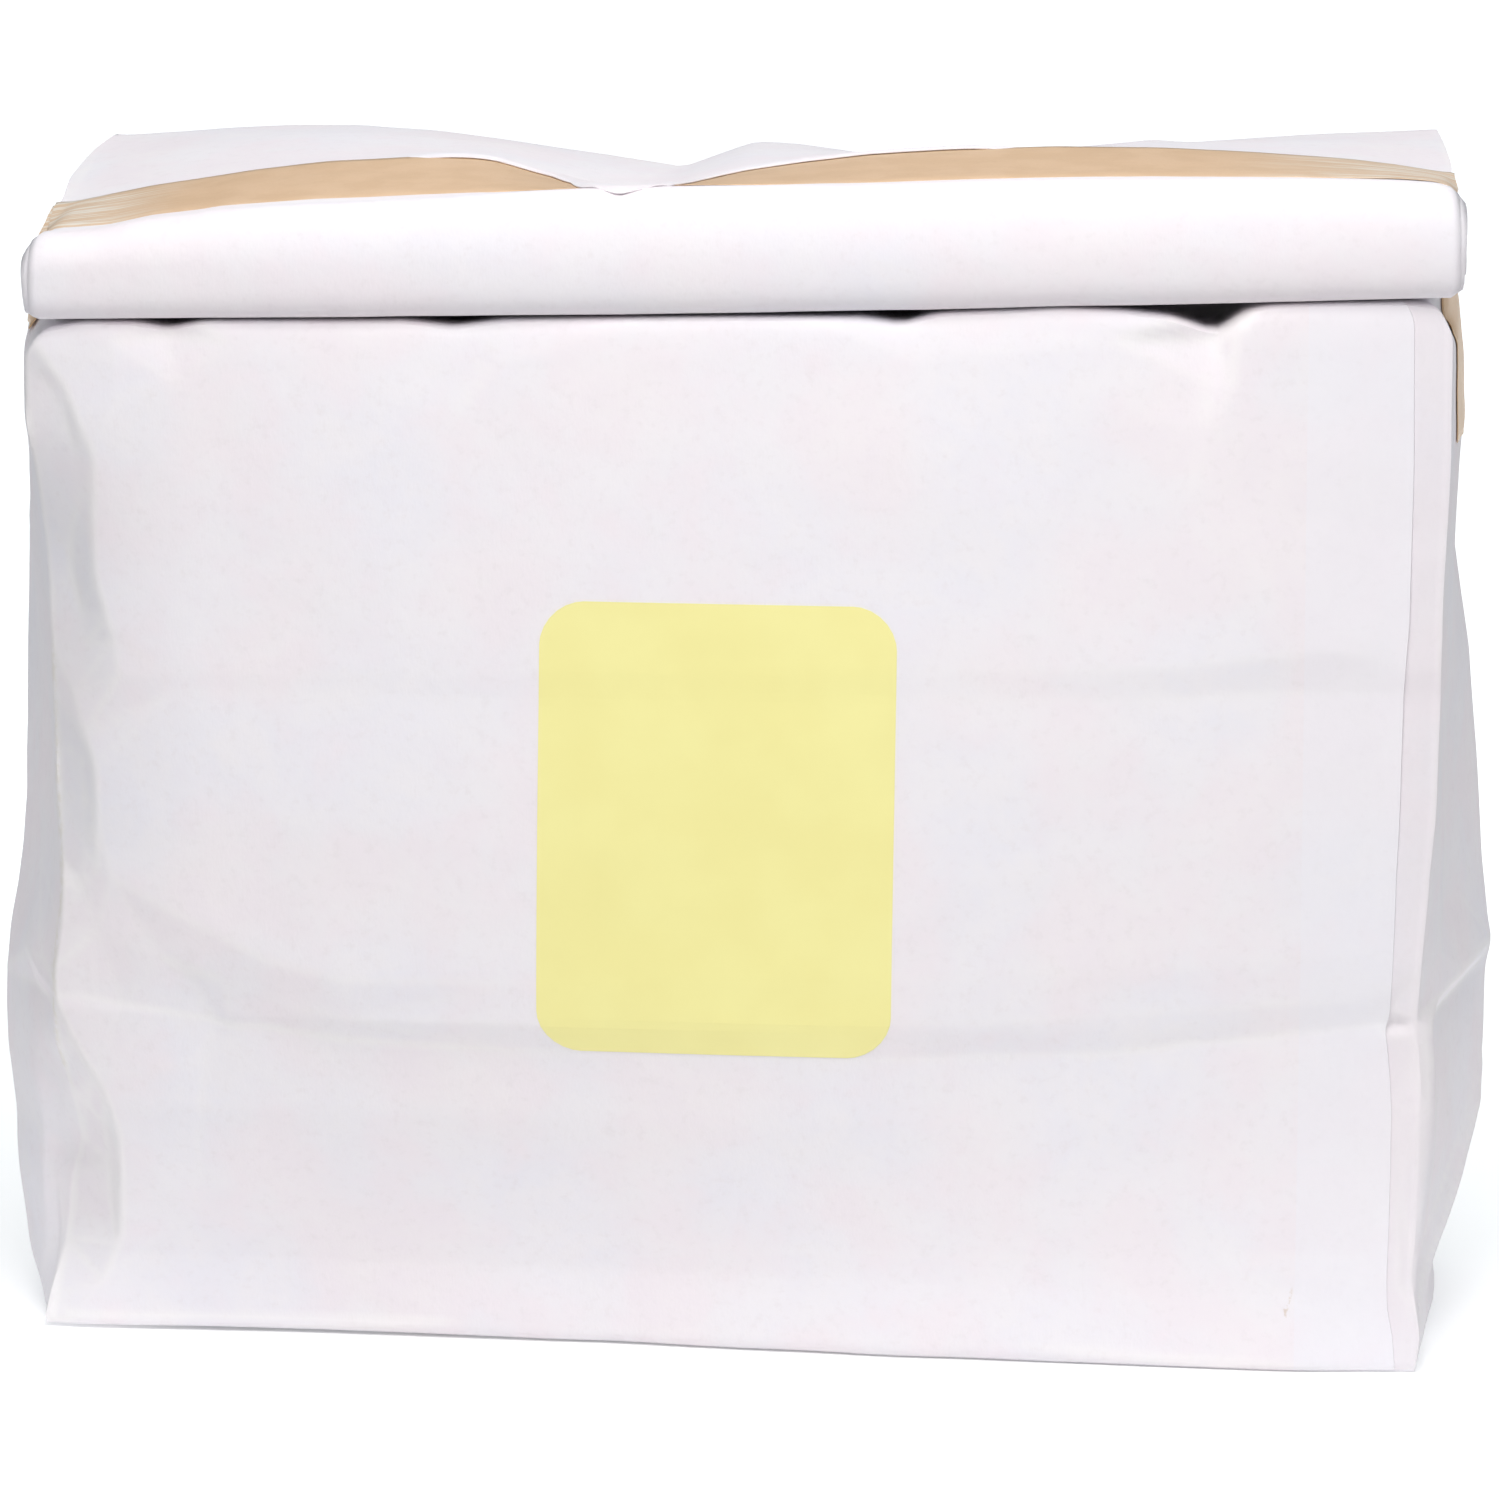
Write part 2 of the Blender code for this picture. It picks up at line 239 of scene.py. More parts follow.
# %% Main lines of the bag
roll_crest = line((
    (-151, 238.5), (-149.8, 239.8), (-148.6, 242.2), (-147.1, 243.3), (-143, 243.4), (-139.9, 243.6),
    (-135.4, 243.8), (-126, 246.0), (-118.5, 246.8), (-115.5, 247.1), (-111.7, 247.9), (-105, 248.3),
    (-92, 249.2), (-80, 249.7), (-63, 250.6), (-48, 251.7), (-32, 252.5), (-13, 253.0), (8.5, 253.3),
    (23, 253.4), (33.5, 253.8), (54, 254.5), (75, 254.9), (96, 255.0), (117, 255.1), (137, 254.8),
    (145, 254.3), (149, 253.2), (150.6, 249.8),
), 0.9)
tape_line = line((
    (-150, 245.5), (-132, 249.2), (-110, 252.4), (-93, 254.4), (-73, 255.5), (-62, 255.4), (-56.7, 254.9),
    (-51, 253.3), (-44, 251.7), (-37, 250.0), (-30, 249.2), (-25, 248.8), (-16.4, 249.6), (-11.6, 250.6),
    (-2, 252.7), (10, 254.4), (25, 256.2), (43, 257.3), (65, 258.1), (86, 257.9), (108, 257.1),
    (130, 255.6), (140, 254.4), (150, 252.8),
), 1.8)
back_rim = line((
    (-150, 258.2), (-140, 258.7), (-122, 260.1), (-108, 260.8), (-94, 260.6), (-75, 259.0), (-59, 257.0),
    (-39, 254.4), (-25, 252.3), (-19.2, 251.2), (-11, 254.2), (-3, 256.9), (7, 256.3), (25, 253.5),
    (64, 254.4), (87, 257.3), (95, 256.7), (121, 258.7), (150, 260.1),
), 1.4)
roll_underside = line(((-150, 224.9), (-71, 225.7), (2.6, 226.9), (75, 228.6), (150, 230.5)))
shoulder_top = line((
    (-150, 220.6), (-146, 223.4), (-138, 225.1), (-128, 225.0), (-120, 223.6), (-112, 225.3), (-86, 225.4),
    (-70, 225.5), (-60, 224.1), (-50, 225.6), (-41, 225.9), (-3, 226.4), (26, 226.5), (34, 225.1),
    (42, 227.5), (55, 228.1), (68, 228.7), (80, 228.2), (90, 226.8), (97, 224.4), (99.4, 223.5),
    (102, 225.2), (105, 227.8), (110, 229.4), (118, 229.8), (140, 230.2), (146, 229.2), (150, 225.6),
), 1.1)
roll_ridge = line((
    (-150, 236.5), (-126, 238.6), (-98, 237.2), (-62, 239.4), (-30, 238.2), (8, 240.2), (44, 239.4),
    (80, 241.4), (112, 239.8), (134, 242.0), (150, 241.0),
), 5)
left_crease = line((
    (0, -154.3), (7, -153.4), (19, -150.6), (34, -149.3), (43, -146.3), (53, -147.4), (68, -149.0),
    (79, -148.3), (85, -148.5), (94, -147.0), (103, -146.3), (122, -147.6), (154, -148.2), (165, -148.8),
    (180, -149.6), (194, -150.3), (205, -151.2), (220, -150.9), (250, -150.0),
), 1.5)
right_crease = line((
    (0, 143.6), (8, 145.4), (20, 144.2), (29, 144.8), (44, 145.2), (58, 144.9), (76, 143.8), (89, 144.7),
    (104, 146.1), (121, 147.1), (146, 147.7), (170, 147.9), (200, 148.3), (225, 148.5), (250, 150.0),
), 1.5)
left_gusset = line((
    (0, 8), (12, 12.8), (28, 15.4), (44, 17.2), (60, 18.3), (76, 18.0), (84, 17.2), (92, 16.0), (100, 14.9),
    (108, 13.9), (116, 13.1), (148, 12.3), (180, 10.6), (195, 8.6), (205, 8.6), (215, 8.8), (238, 5.0),
    (250, 3.5),
), 2.0)
right_gusset = line((
    (0, 3.4), (6, 3.6), (12, 2.7), (18, 4.4), (32, 9.2), (48, 12.7), (64, 13.5), (79, 13.9), (84.5, 15.2),
    (88, 14.2), (103, 12.0), (127, 10.0), (150, 7.8), (180, 3.2), (200, 5.5), (215, 5.0), (238, 2.0),
    (250, 0.5),
), 1.6)
flap_edge = line((
    (0, 141.0), (8, 140.3), (14, 139.3), (32, 139.7), (58, 139.3), (70, 138.3), (76, 137.4), (79, 138.8),
    (92, 139.2), (126, 139.6), (148, 140.0), (164, 141.1), (194, 140.9), (229, 140.5), (250, 140.5),
), 0.8)
edge_lift = line(((-150, 0.8), (-95, 0.7), (-30, 0.4), (34, 0.1), (77, 0.0), (150, 0.0)))
edge_tuck = line(((-150, 30), (-95, 30), (-30, 24), (34, 15), (120, 6), (150, 6)))
sheet_edge_left = line((
    (-65, -0.6), (-50, 0.1), (-30, 0.4), (-5, 3.0), (5, 3.1), (25, 4.7), (35, 4.1), (50, 2.7), (65, -1.2),
))
sheet_edge_right = line(((-65, 0.2), (-50, 0.4), (-5, 1.4), (10, 2.4), (40, 2.2), (65, 1.6)))
print("the top sheet's back is", *back_rim(np.array([-19, -105])).round(1), "mm high in and beside its dip")

# %% [markdown]
# ## The creases of the front wall
#
# Each row below is one crease, written down from the photograph as (across, up, inward). The left edge is
# crumpled into slanting facets, two long creases run across where the empty bag was folded flat, and a
# glued lap runs down near the right edge.

# %% Front wall
LEFT_EDGE = (
    (-154.3, 0, 3.0), (-153.4, 6.7, 5.0), (-150.6, 19, 9), (-150.0, 27, 12.5), (-149.3, 34, 14),
    (-147.7, 39, 14.8), (-146.3, 43, 14.8), (-147.4, 53, 13.6), (-148.6, 61, 10.8), (-149.0, 68, 6.5),
    (-148.3, 79.1, 2.8), (-148.5, 84.6, 1.8), (-148.3, 90, 2.2), (-147.0, 94.4, 2.4), (-146.3, 103, 3.0),
    (-146.6, 108, 6), (-147.6, 122, 9), (-147.9, 134, 9), (-148.1, 144, 8), (-148.2, 154, 8),
    (-148.8, 165, 8.5), (-149.6, 180, 8.2), (-150.3, 194, 6.8), (-151.2, 205, 5.6), (-151.0, 214, 3.6),
    (-150.9, 220, 2.0), (-150.7, 226, 0.5),
)
UPPER_FACET = (
    (-148.3, 220.3, 0.8), (-142.3, 211.7, 1.2), (-139.1, 203, 1.0), (-136.6, 198, 0.8), (-136.2, 194, 1.0),
    (-137.1, 182.7, 1.4), (-137, 170.8, 1.3), (-134.4, 161.6, 0.9), (-133, 157.2, 1.0),
    (-131.8, 149.7, 0.7),
)
UPPER_FOLD = (
    (-149.8, 217, 2.4), (-145.4, 211, 2.8), (-142, 203, 3.0), (-140.2, 196, 2.8), (-141.6, 183, 4.6),
    (-143.2, 176, 6.4), (-143.0, 170, 6.6), (-140.6, 162, 5.0), (-140.4, 155, 4.4), (-138, 150.5, 2.6),
)
MIDDLE_FACET = (
    (-142.6, 144.7, 4.2), (-140.1, 136.1, 2.2), (-137.7, 129.9, 1.2), (-137.4, 118.7, 1.0),
    (-137.6, 107.3, 1.4), (-141.1, 103.4, 2.2), (-146.3, 103),
)
LOWER_FACET = (
    (-148.3, 79.1), (-144.2, 68.8, 2.8), (-140.0, 60.6, 3.2), (-138.0, 56.7, 3.2), (-135.8, 47.5, 3.2),
    (-136.0, 41.6, 3.2), (-136.5, 34.8, 3.2), (-137.0, 28, 3.4), (-138.0, 20, 3.8), (-142, 11, 4.2),
    (-149, 3, 3.8), (-154.3, 0),
)
LOW_CREASE = (
    (-148.3, 79.1), (-139, 79.0, 4.8), (-132.6, 77.8, 5.9), (-122.3, 76.4, 7.2), (-113.1, 74.9, 7.4),
    (-108.6, 73.6, 6.6), (-102.2, 73.8, 6.0), (-85, 71.3, 4.8), (-46.6, 69.6, 3.2), (2.5, 69.2, 2.4),
    (25.8, 68.8, 2.4), (76.7, 70.4, 3.0), (93.6, 72.6, 3.3), (104.8, 73.5, 3.4), (118.4, 75.2, 3.4),
    (127.5, 76.1, 3.4), (136.2, 77.1, 3.4), (139.4, 76.7, 4.8), (142.6, 76.6, 3.2), (143.8, 76.9, 3.0),
    (150, 77.5, 3.0),
)
ABOVE_LOW_CREASE = (
    (-138, 94, 2.4), (-124, 89, 3.5), (-110, 84, 3.5), (-96, 79, 3.3), (-84, 76.5, 2.6), (-46, 76, 1.5),
    (2, 76.5, 0.9), (60, 78, 1.0), (105, 81, 1.3), (133, 83, 1.4),
)
TOP_OF_SAG = (
    (-134, 106, 0.9), (-116, 97, 0.8), (-100, 89, 0.7), (-84, 85, 0.5), (-46, 85, 0.4), (2, 86, 0.2),
    (60, 88, 0.2), (105, 91, 0.3), (133, 93, 0.4),
)
BELOW_LOW_CREASE = (
    (-137.0, 28), (-120, 29, 3.8), (-60, 26, 2.6), (0, 24, 1.6), (60, 24, 2.0), (100, 25, 2.3),
    (132, 26, 2.4),
)
HIGH_RIDGE = (
    (-131.8, 149.7), (-122.3, 150.6, 0.4), (-50, 151.5, 0.3), (34, 152.5, 0.2), (74, 153, 0.1),
    (92.8, 153.5, 0.0), (103.2, 155, -0.1), (118.4, 156.3, -0.2), (123.2, 156.9, -0.2),
    (130.2, 156.3, -0.1), (132.6, 153.8, 0.3), (139, 153.5, 0.5), (147.6, 153.5, 0.6),
)
HIGH_VALLEY = (
    (-120, 146.5, 0.6), (-50, 146, 0.5), (34, 146.5, 0.5), (74, 146.5, 0.6), (92.8, 147, 0.9),
    (118, 148, 1.0), (139, 148, 1.0), (147.7, 147.5, 1.2),
)
FRONT_CREASES = (
    LEFT_EDGE, UPPER_FACET, UPPER_FOLD, MIDDLE_FACET, LOWER_FACET, LOW_CREASE, ABOVE_LOW_CREASE, TOP_OF_SAG,
    BELOW_LOW_CREASE, HIGH_RIDGE, HIGH_VALLEY, ((-143.2, 176), (-149.6, 180)),
    ((-143.0, 170), (-148.8, 165)), ((-140.2, 196), (-136.6, 198)),
    ((-140.6, 162), (-148.2, 154), (-140.4, 155)), ((-140.4, 112, 3.0), (-141.1, 103.4)),
    ((-140.4, 122, 4.0), (-141, 130, 4.2)),
    ((-139.2, 48, 8.6), (-139.0, 38, 8.8), (-139.4, 30, 8.0), (-150.0, 27)), ((-144, 52, 12), (-139.2, 48)),
    ((-113.1, 74.9), (-115.4, 65.6, 6.2)), ((-118.1, 85.8, 4.8), (-113.1, 74.9)),
    ((-120.2, 222.2, 1.6), (-118.5, 212, 0.4)), ((-107, 221, 0.2), (-104, 208, 0.2)),
    ((-132, 221, 0.4), (-131, 208, 0.3)), ((-50, 224, 0.8), (-50.5, 217, 0.1)),
    ((37, 225, 0.9), (37, 218, 0.1)),
    ((99.4, 222.3, 3.6), (98.2, 213, 1.5), (96.4, 203, 0.6), (94.5, 190, 0.3)),
    ((78, 222, 0.2), (84, 206, 0.2)), ((104, 224, 0.2), (103, 212, 0.2)),
    ((-150.7, 226), (-120, 228, 0.0), (0, 232, 0.0), (110, 232, 0.0), (150, 232, 0.5)),
    ((150, 0, 1.5), (150, 8, 1.0), (144.6, 19, 2.8), (145, 42, 2.2), (145, 58, 1.2), (143.8, 76.9)),
    ((143.8, 76.9), (144.7, 89, 1.0), (147.1, 121, 0.8), (147.7, 147.5), (147.6, 153.5)),
    ((147.6, 153.5), (148, 180, 1.0), (148.3, 200, 0.8), (150, 232)),
    ((137.5, 79.6, 2.9), (142.6, 78.4, 2.5)), ((137.2, 74.4, 3.1), (142.4, 74.8, 2.7)),
    ((138.9, 59.5, 2.4), (143.2, 68.1, 2.8)), ((140.6, 42, 2.4), (140.8, 19, 1.6)),
    ((141, 121.6, 0.5), (146, 121.4, 0.8)), ((-60, 205, 0.3), (40, 198, -0.2)),
    ((-90, 175, 0.5), (60, 172, 0.3)), ((-95, 120, -0.4), (-20, 112, 0.1)),
    ((50, 108, -0.2), (110, 118, 0.3)), ((-60, 4, 0.6), (60, 4, 0.2)),
)
front_folds = FoldMap((-156, 156), (-4, 262), FRONT_CREASES, 0.45, ((24, 0.3), (8, 0.09), (2.5, 0.03)), 11)
print("front wall:", len(FRONT_CREASES), "creases, depth", round(float(np.ptp(front_folds.ground)), 1), "mm")

# %% [markdown]
# ## The creases of the other walls
#
# The photograph shows little of the other walls, so they get what such a bag has. When it was empty it lay
# flat: the bottom was folded up against the front along a line half a bag's depth above the floor, and each
# gusset was folded inward along its middle. Those folds leave a level crease all round, an upright crease
# down each gusset, and slanting ones from the bottom corners to where the two meet.

# %% Gussets
RIGHT_CREASES = (
    ((-65, 0, 0), (-65, 78, 0), (-65, 150, 0), (-65, 262, 0)),
    ((65, 0, 0), (65, 70, 0), (65, 148, 0), (65, 262, 0)),
    ((-65, 78), (-61, 75, 2.6), (-52, 75, -1.4), (-36, 77, -1.6), (-16, 80, -0.6), (0, 84.5, 1.6),
     (18, 78, -0.3), (40, 73, -2.4), (65, 70)),
    ((-65, 0), (-44, 24, -1.6), (-22, 40, -1.0), (0, 62, 0.8), (0, 84.5)),
    ((-52, 8, 1.0), (-30, 26, 1.4), (-6, 48, 1.6)), ((0, 62), (24, 38, -1.8), (42, 22, -2.2), (65, 0)),
    ((-50, 80.5, 0.9), (-34, 82.5, 1.4), (-16, 85, 1.9), (0, 84.5)),
    ((-50, 80.5), (-50, 90, 0.4), (-42, 101, -1.2), (-22, 97, -0.4), (0, 84.5)),
    ((0, 84.5), (2, 120, 1.4), (-1, 150, 0.9), (1, 182, -1.8), (0, 206, 0.2), (2, 236, 0.4)),
    ((-65, 150), (-30, 149, -0.6), (-1, 150), (30, 147, -1.9), (65, 148)),
    ((-50, 232, 0.3), (-28, 205, 0.7), (1, 182), (30, 208, 1.6), (52, 236, 0.3)),
    ((-46, 140, -1.2), (-40, 116, -1.5)), ((34, 118, -0.4), (46, 100, -2.4)),
    ((-40, 176, 0.6), (-30, 190, 0.3)), ((40, 172, -2.2), (28, 190, 0.6)), ((-30, 14, 0.3), (32, 12, 0.2)),
    ((26, 58, 1.2), (46, 50, 0.9)),
)
LEFT_CREASES = (
    ((-65, 0, 0), (-65, 79, 0), (-65, 150, 0), (-65, 262, 0)),
    ((65, 0, 0), (65, 69, 0), (65, 149, 0), (65, 262, 0)),
    ((-65, 79), (-52, 76.5, -0.6), (-34, 77, -1.0), (-18, 76, 0.3), (0, 75, 1.4), (22, 72, -0.6),
     (44, 70, -2.4), (65, 69)),
    ((-65, 0), (-46, 20, -1.7), (-20, 44, -0.8), (0, 60, 1.0), (0, 75)),
    ((0, 60), (22, 40, -1.8), (44, 20, -2.3), (65, 0)),
    ((-54, 82, 2.0), (-46, 85, 2.6), (-30, 84, 1.2), (0, 75)), ((-46, 85), (-56, 94, 0.2)),
    ((0, 75), (-2, 112, 1.0), (1, 149, 0.8), (-1, 180, 0.3), (0, 208, 0.5), (-2, 236, 0.4)),
    ((-65, 150), (-34, 152, -0.7), (1, 149), (34, 151, -1.9), (65, 149)),
    ((-52, 230, 0.4), (-30, 204, 0.6), (-1, 180), (28, 206, 1.7), (50, 238, 0.2)),
    ((-42, 128, -1.0), (-24, 104, -0.3)), ((30, 124, -0.4), (44, 96, -2.2)),
    ((-36, 172, 0.5), (-28, 188, 0.2)), ((40, 172, -2.0), (30, 188, 0.6)), ((24, 56, 1.1), (46, 48, 0.9)),
    ((-26, 16, 0.2), (30, 14, 0.3)), ((-44, 52, -0.4), (-26, 62, 0.2)),
)
gusset_scales = ((14, 0.22), (5, 0.08), (1.8, 0.025))
right_folds = FoldMap((-72, 72), (-4, 264), RIGHT_CREASES, 0.45, gusset_scales, 23)
left_folds = FoldMap((-72, 72), (-4, 264), LEFT_CREASES, 0.45, gusset_scales, 37)

# %% Back wall, top sheet and bottom
BACK_CREASES = (
    ((-152, 0, 1.0), (-152, 30, 5.5), (-152, 70, 2.0), (-152, 112, 4.6), (-152, 148, 1.6),
     (-152, 196, 5.0), (-152, 262, 0.5)),
    ((152, 0, 1.0), (152, 34, 4.8), (152, 69, 2.0), (152, 108, 5.2), (152, 149, 1.6), (152, 190, 4.4),
     (152, 262, 0.5)),
    ((-152, 70), (-128, 68.5, 3.0), (-96, 68, 4.0), (-40, 67, 3.6), (20, 67.5, 3.3), (84, 67, 3.7),
     (96, 67, 4.2), (126, 68.5, 3.2), (152, 69)),
    ((-120, 79, 1.6), (-70, 77, 2.1), (-10, 76, 1.6), (60, 77, 1.8)),
    ((-116, 96, 0.2), (-60, 92, 0.3), (20, 90, 0.0), (76, 94, 0.4)),
    ((-126, 40, 1.4), (-60, 36, 1.0), (0, 34, 0.4), (50, 38, 0.8), (120, 40, 1.6)),
    ((-152, 148), (-110, 148, 2.0), (-44, 146, 1.7), (30, 147, 1.8), (104, 147.5, 2.1), (152, 149)),
    ((-116, 154, 0.3), (-44, 153, 0.1), (30, 154, 0.2), (112, 154, 0.4)),
    ((-152, 112), (-139, 124, 0.8), (-134, 104, 0.9), (-138, 86, 2.0), (-128, 68.5)),
    ((-152, 30), (-138, 46, 1.6), (-134, 28, 1.2), (-140, 12, 1.0)),
    ((-152, 196), (-139, 214, 0.8), (-135, 196, 0.6), (-140, 170, 1.2)),
    ((152, 149), (137, 170, 0.6), (136, 196, 0.6), (140, 220, 0.4)), ((152, 190), (136, 196)),
    ((152, 108), (138, 122, 0.9), (136, 100, 1.0), (139, 84, 1.8), (126, 68.5)),
    ((152, 69), (139, 50, 0.8), (136, 28, 0.9), (144, 10, 1.4)), ((152, 34), (136, 28)),
    ((-124, 226, 0.3), (-112, 204, 1.8), (-120, 178, 0.6)),
    ((-20, 246, 3.0), (-24, 226, 2.0), (-34, 200, 0.5)), ((26, 246, 2.0), (32, 228, 1.2), (30, 210, 0.2)),
    ((-70, 190, -0.5), (-10, 182, 0.8)), ((50, 196, -0.5), (104, 184, 1.0)),
    ((-60, 122, 0.9), (10, 114, -0.3)), ((50, 126, -0.1), (110, 112, 1.1)),
    ((96, 67), (110, 88, 1.6), (124, 94, 0.4)), ((-96, 68), (-104, 54, 2.2)),
)
back_folds = FoldMap((-156, 156), (-4, 264), BACK_CREASES, 0.9, ((22, 0.25), (7, 0.08), (2.2, 0.022)), 41)
TOP_CREASES = (
    ((-152, -60, 0), (-152, 0, 0), (-152, 65, 0)), ((152, -60, 0), (152, 0, 0), (152, 65, 0)),
    ((-152, 36, 0.6), (-110, 40, 1.7), (-60, 36, 1.6), (-34, 30, 1.0), (-26, 24, -0.3)),
    ((-29, -2, 0.0), (-26, 24), (-19, 65, 0.0)),
    ((-26, 24), (-12, 34, 1.0), (22, 38, 1.2), (58, 34, 0.4), (90, 40, 1.3), (152, 38, 0.7)),
    ((-29, -2), (-44, 10, 0.7), (-70, 20, 0.4)), ((-29, -2), (-14, 8, 0.8), (16, 14, 0.3)),
    ((25, 65, -0.2), (28, 44, -0.3), (58, 34)), ((-90, 10, 0.5), (-120, 20, 0.3)),
    ((70, 12, 0.4), (110, 18, 0.2)), ((95, 65, 0), (98, 52, 0.4)),
)
top_folds = FoldMap((-156, 156), (-70, 72), TOP_CREASES, 1.1, ((16, 0.16), (5, 0.06), (2, 0.02)), 53)
BOTTOM_CREASES = (
    ((-150, -65, 0), (-86, -4, 0.5), (-86, 6, 0.5), (-150, 65, 0)),
    ((150, -65, 0), (86, -6, 0.5), (86, 4, 0.5), (150, 65, 0)), ((-86, 6), (0, 7, 0.4), (86, 4)),
    ((-86, -4), (0, -5, 0.1), (86, -6)), ((-112, 0, 0.1), (-100, 0, 0.1)), ((112, 0, 0.1), (100, 0, 0.1)),
)
bottom_folds = FoldMap((-160, 160), (-70, 72), BOTTOM_CREASES, 0.5, ((9, 0.05),), 61)
print("fold maps made")

# %% [markdown]
# ## Cutting the box of paper
#
# The walls are one closed sheet, so they start as one cube. Only edges that run the same way are subdivided
# together, which cuts whole rows and leaves neat rows of four-sided faces. Where a row then goes is a
# separate question, and the rows are moved closer together where the paper is most crumpled.

# %% A finely cut cube
# Across, deep and high: each pair multiplies up to the number of rows of faces
ROWS = {0: (15, 12), 1: (6, 9), 2: (14, 12)}


def start_clean():
    """Leaves edit mode and selects nothing, because an operator acts on all that is selected."""
    if bpy.context.object and bpy.context.object.mode != "OBJECT":
        bpy.ops.object.mode_set(mode="OBJECT")
    bpy.ops.object.select_all(action="DESELECT")


def name_it(name):
    """Names the object that was just made, and its mesh."""
    made = bpy.context.object
    made.name = made.data.name = name
    return made


def subdivide_along(axis, parts):
    """Cuts every edge that runs along an axis into that many parts."""
    mesh = bmesh.from_edit_mesh(bpy.context.object.data)
    bpy.ops.mesh.select_all(action="DESELECT")
    for edge in mesh.edges:
        way = edge.verts[1].co - edge.verts[0].co
        if abs(way[axis]) > 0.999 * way.length:
            edge.select = True
    bmesh.update_edit_mesh(bpy.context.object.data)
    bpy.ops.mesh.subdivide(number_cuts=parts - 1)


def smooth(made, angle=38):
    """Shades an object smooth, but leaves edges that are bent more than the angle crisp."""
    start_clean()
    made.select_set(True)
    bpy.context.view_layer.objects.active = made
    bpy.ops.object.shade_smooth_by_angle(angle=math.radians(angle))


start_clean()
bpy.ops.mesh.primitive_cube_add(size=1, location=(0, 0, 0))
walls = name_it("paper_walls")
bpy.ops.object.mode_set(mode="EDIT")
bpy.ops.mesh.select_mode(type="EDGE")
for axis, steps in ROWS.items():
    for parts in steps:
        subdivide_along(axis, parts)
bpy.ops.object.mode_set(mode="OBJECT")
print("the box of paper has", len(walls.data.polygons), "faces")

# %% [markdown]
# ## Filling the bag
#
# Each point of the cube is now moved to its place. First the rows are spread, then the box's edges are
# rounded, and then the walls take their lines and their folds. Every step is a rule for all points at once.

# %% Where the rows go
ROW_PLACES = (
    ((0, -150), (32, -130), (49, -105), (134, 100), (143, 116), (158, 137.5), (161, 139.0), (162, 139.2),
     (167, 142.5), (180, 150)),
    ((0, FRONT), (8, TAPE_NEAR), (28, TAPE_FAR), (50, 55), (54, BACK)),
    ((0, 0), (16, 20), (40, 64), (45, 70), (60, 82), (77, 110), (93, 142), (111, 160), (129, 196),
     (140, 214), (156, 229), (164, 248.4), (166, 249.3), (167, 249.45), (168, HEIGHT)),
)
LAP_EDGE = 139.1  # where the glued lap's edge is before it wanders
ON_FACE = 0.499  # a coordinate on the unit cube that is past this lies on a face
CREST_STEP = 0.9  # how far the roll's crest stands above the paper right behind it


def spread(unit, axis):
    """Turns places on the unit cube into millimetres, by the table of rows."""
    rows, places = zip(*ROW_PLACES[axis])
    return np.interp((unit + 0.5) * rows[-1], rows, places)


def rounded(a, b, corner_a, corner_b, radius):
    """New values of a and b, with the box edge between their two walls rounded to an arc."""
    new_a, new_b = a.copy(), b.copy()
    side_a = 1 if corner_a > 0 else -1
    side_b = 1 if corner_b > 0 else -1
    reach_a = np.where(np.abs(b - corner_b) < 1e-6, np.clip(1 - (corner_a - a) * side_a / radius, 0, 1), 0)
    reach_b = np.where(np.abs(a - corner_a) < 1e-6, np.clip(1 - (corner_b - b) * side_b / radius, 0, 1), 0)
    angle_a, angle_b = reach_a * math.pi / 4, math.pi / 2 - reach_b * math.pi / 4
    for on_wall, angle in ((reach_a > 0, angle_a), (reach_b > 0, angle_b)):
        arc_a = corner_a - side_a * radius * (1 - np.sin(angle))
        arc_b = corner_b - side_b * radius * (1 - np.cos(angle))
        new_a, new_b = np.where(on_wall, arc_a, new_a), np.where(on_wall, arc_b, new_b)
    return new_a, new_b


def rounded_floor(a, z, corner, radius):
    """The edge between a wall and the bottom, rounded. Height is turned upside down for it."""
    new_a, upside_down = rounded(a, -z + 1000, corner, 1000.0, radius)
    return new_a, 1000 - upside_down


def top_height(x, y):
    """Height of the top sheet, from its lines at the roll's crest, the tape's far edge and the back."""
    behind_roll = roll_crest(x) - CREST_STEP
    past_near = np.clip((y - TAPE_NEAR) / (TAPE_FAR - TAPE_NEAR), 0, 1)
    past_far = np.clip((y - TAPE_FAR) / (BACK - TAPE_FAR), 0, 1)
    near = behind_roll + (tape_line(x) - behind_roll) * past_near
    far = tape_line(x) + (back_rim(x) - tape_line(x)) * past_far
    return np.where(y < TAPE_FAR, near, far)


def folded_top(x, y):
    """Height of the top sheet with its folds."""
    return top_height(x, y) + top_folds(x, y) * 0.6


def rise_to_roll(y):
    """How far the flat mouth rises from the top sheet towards the roll."""
    return CREST_STEP * ramp(-y, 50, 60.5)


def gusset_dome(y):
    """How the push of the powder fades from the middle of a gusset to its two upright creases."""
    share = np.clip(np.abs(y) / BACK, 0, 1)
    return 1.11 * (1.005 - np.hypot(share, 0.1))


dip = top_height(np.array([-19.0]), np.array([20.0]))[0]
print("the top sheet dips to", round(float(dip), 1), "mm left of the middle")


# %% Moving the points
EDGE_REACH = 22.0  # how far from a wall's edge a push on the next wall still tells
SHOULDER = (  # row, height, how far in and how much farther in between the ends of the roll
    (165, 165, 0, 0), (190, 190, -0.4, 0), (205, 205, -0.7, 0), (214, 214, -0.9, 0), (217, 217.5, -1.0, 0),
    (219, 220.2, -1.0, 0), (221, 222.9, -0.9, 0), (222.5, 224.5, -0.4, 0), (224, 225.3, 1.0, 0),
    (225.5, 225.6, 4.6, 0), (227, 225.8, 8.6, 5), (229, 226.0, 11.5, 17), (232, 229, 13.0, 22),
    (238, 238, 13, 20), (243, 243, 13, 0),
)


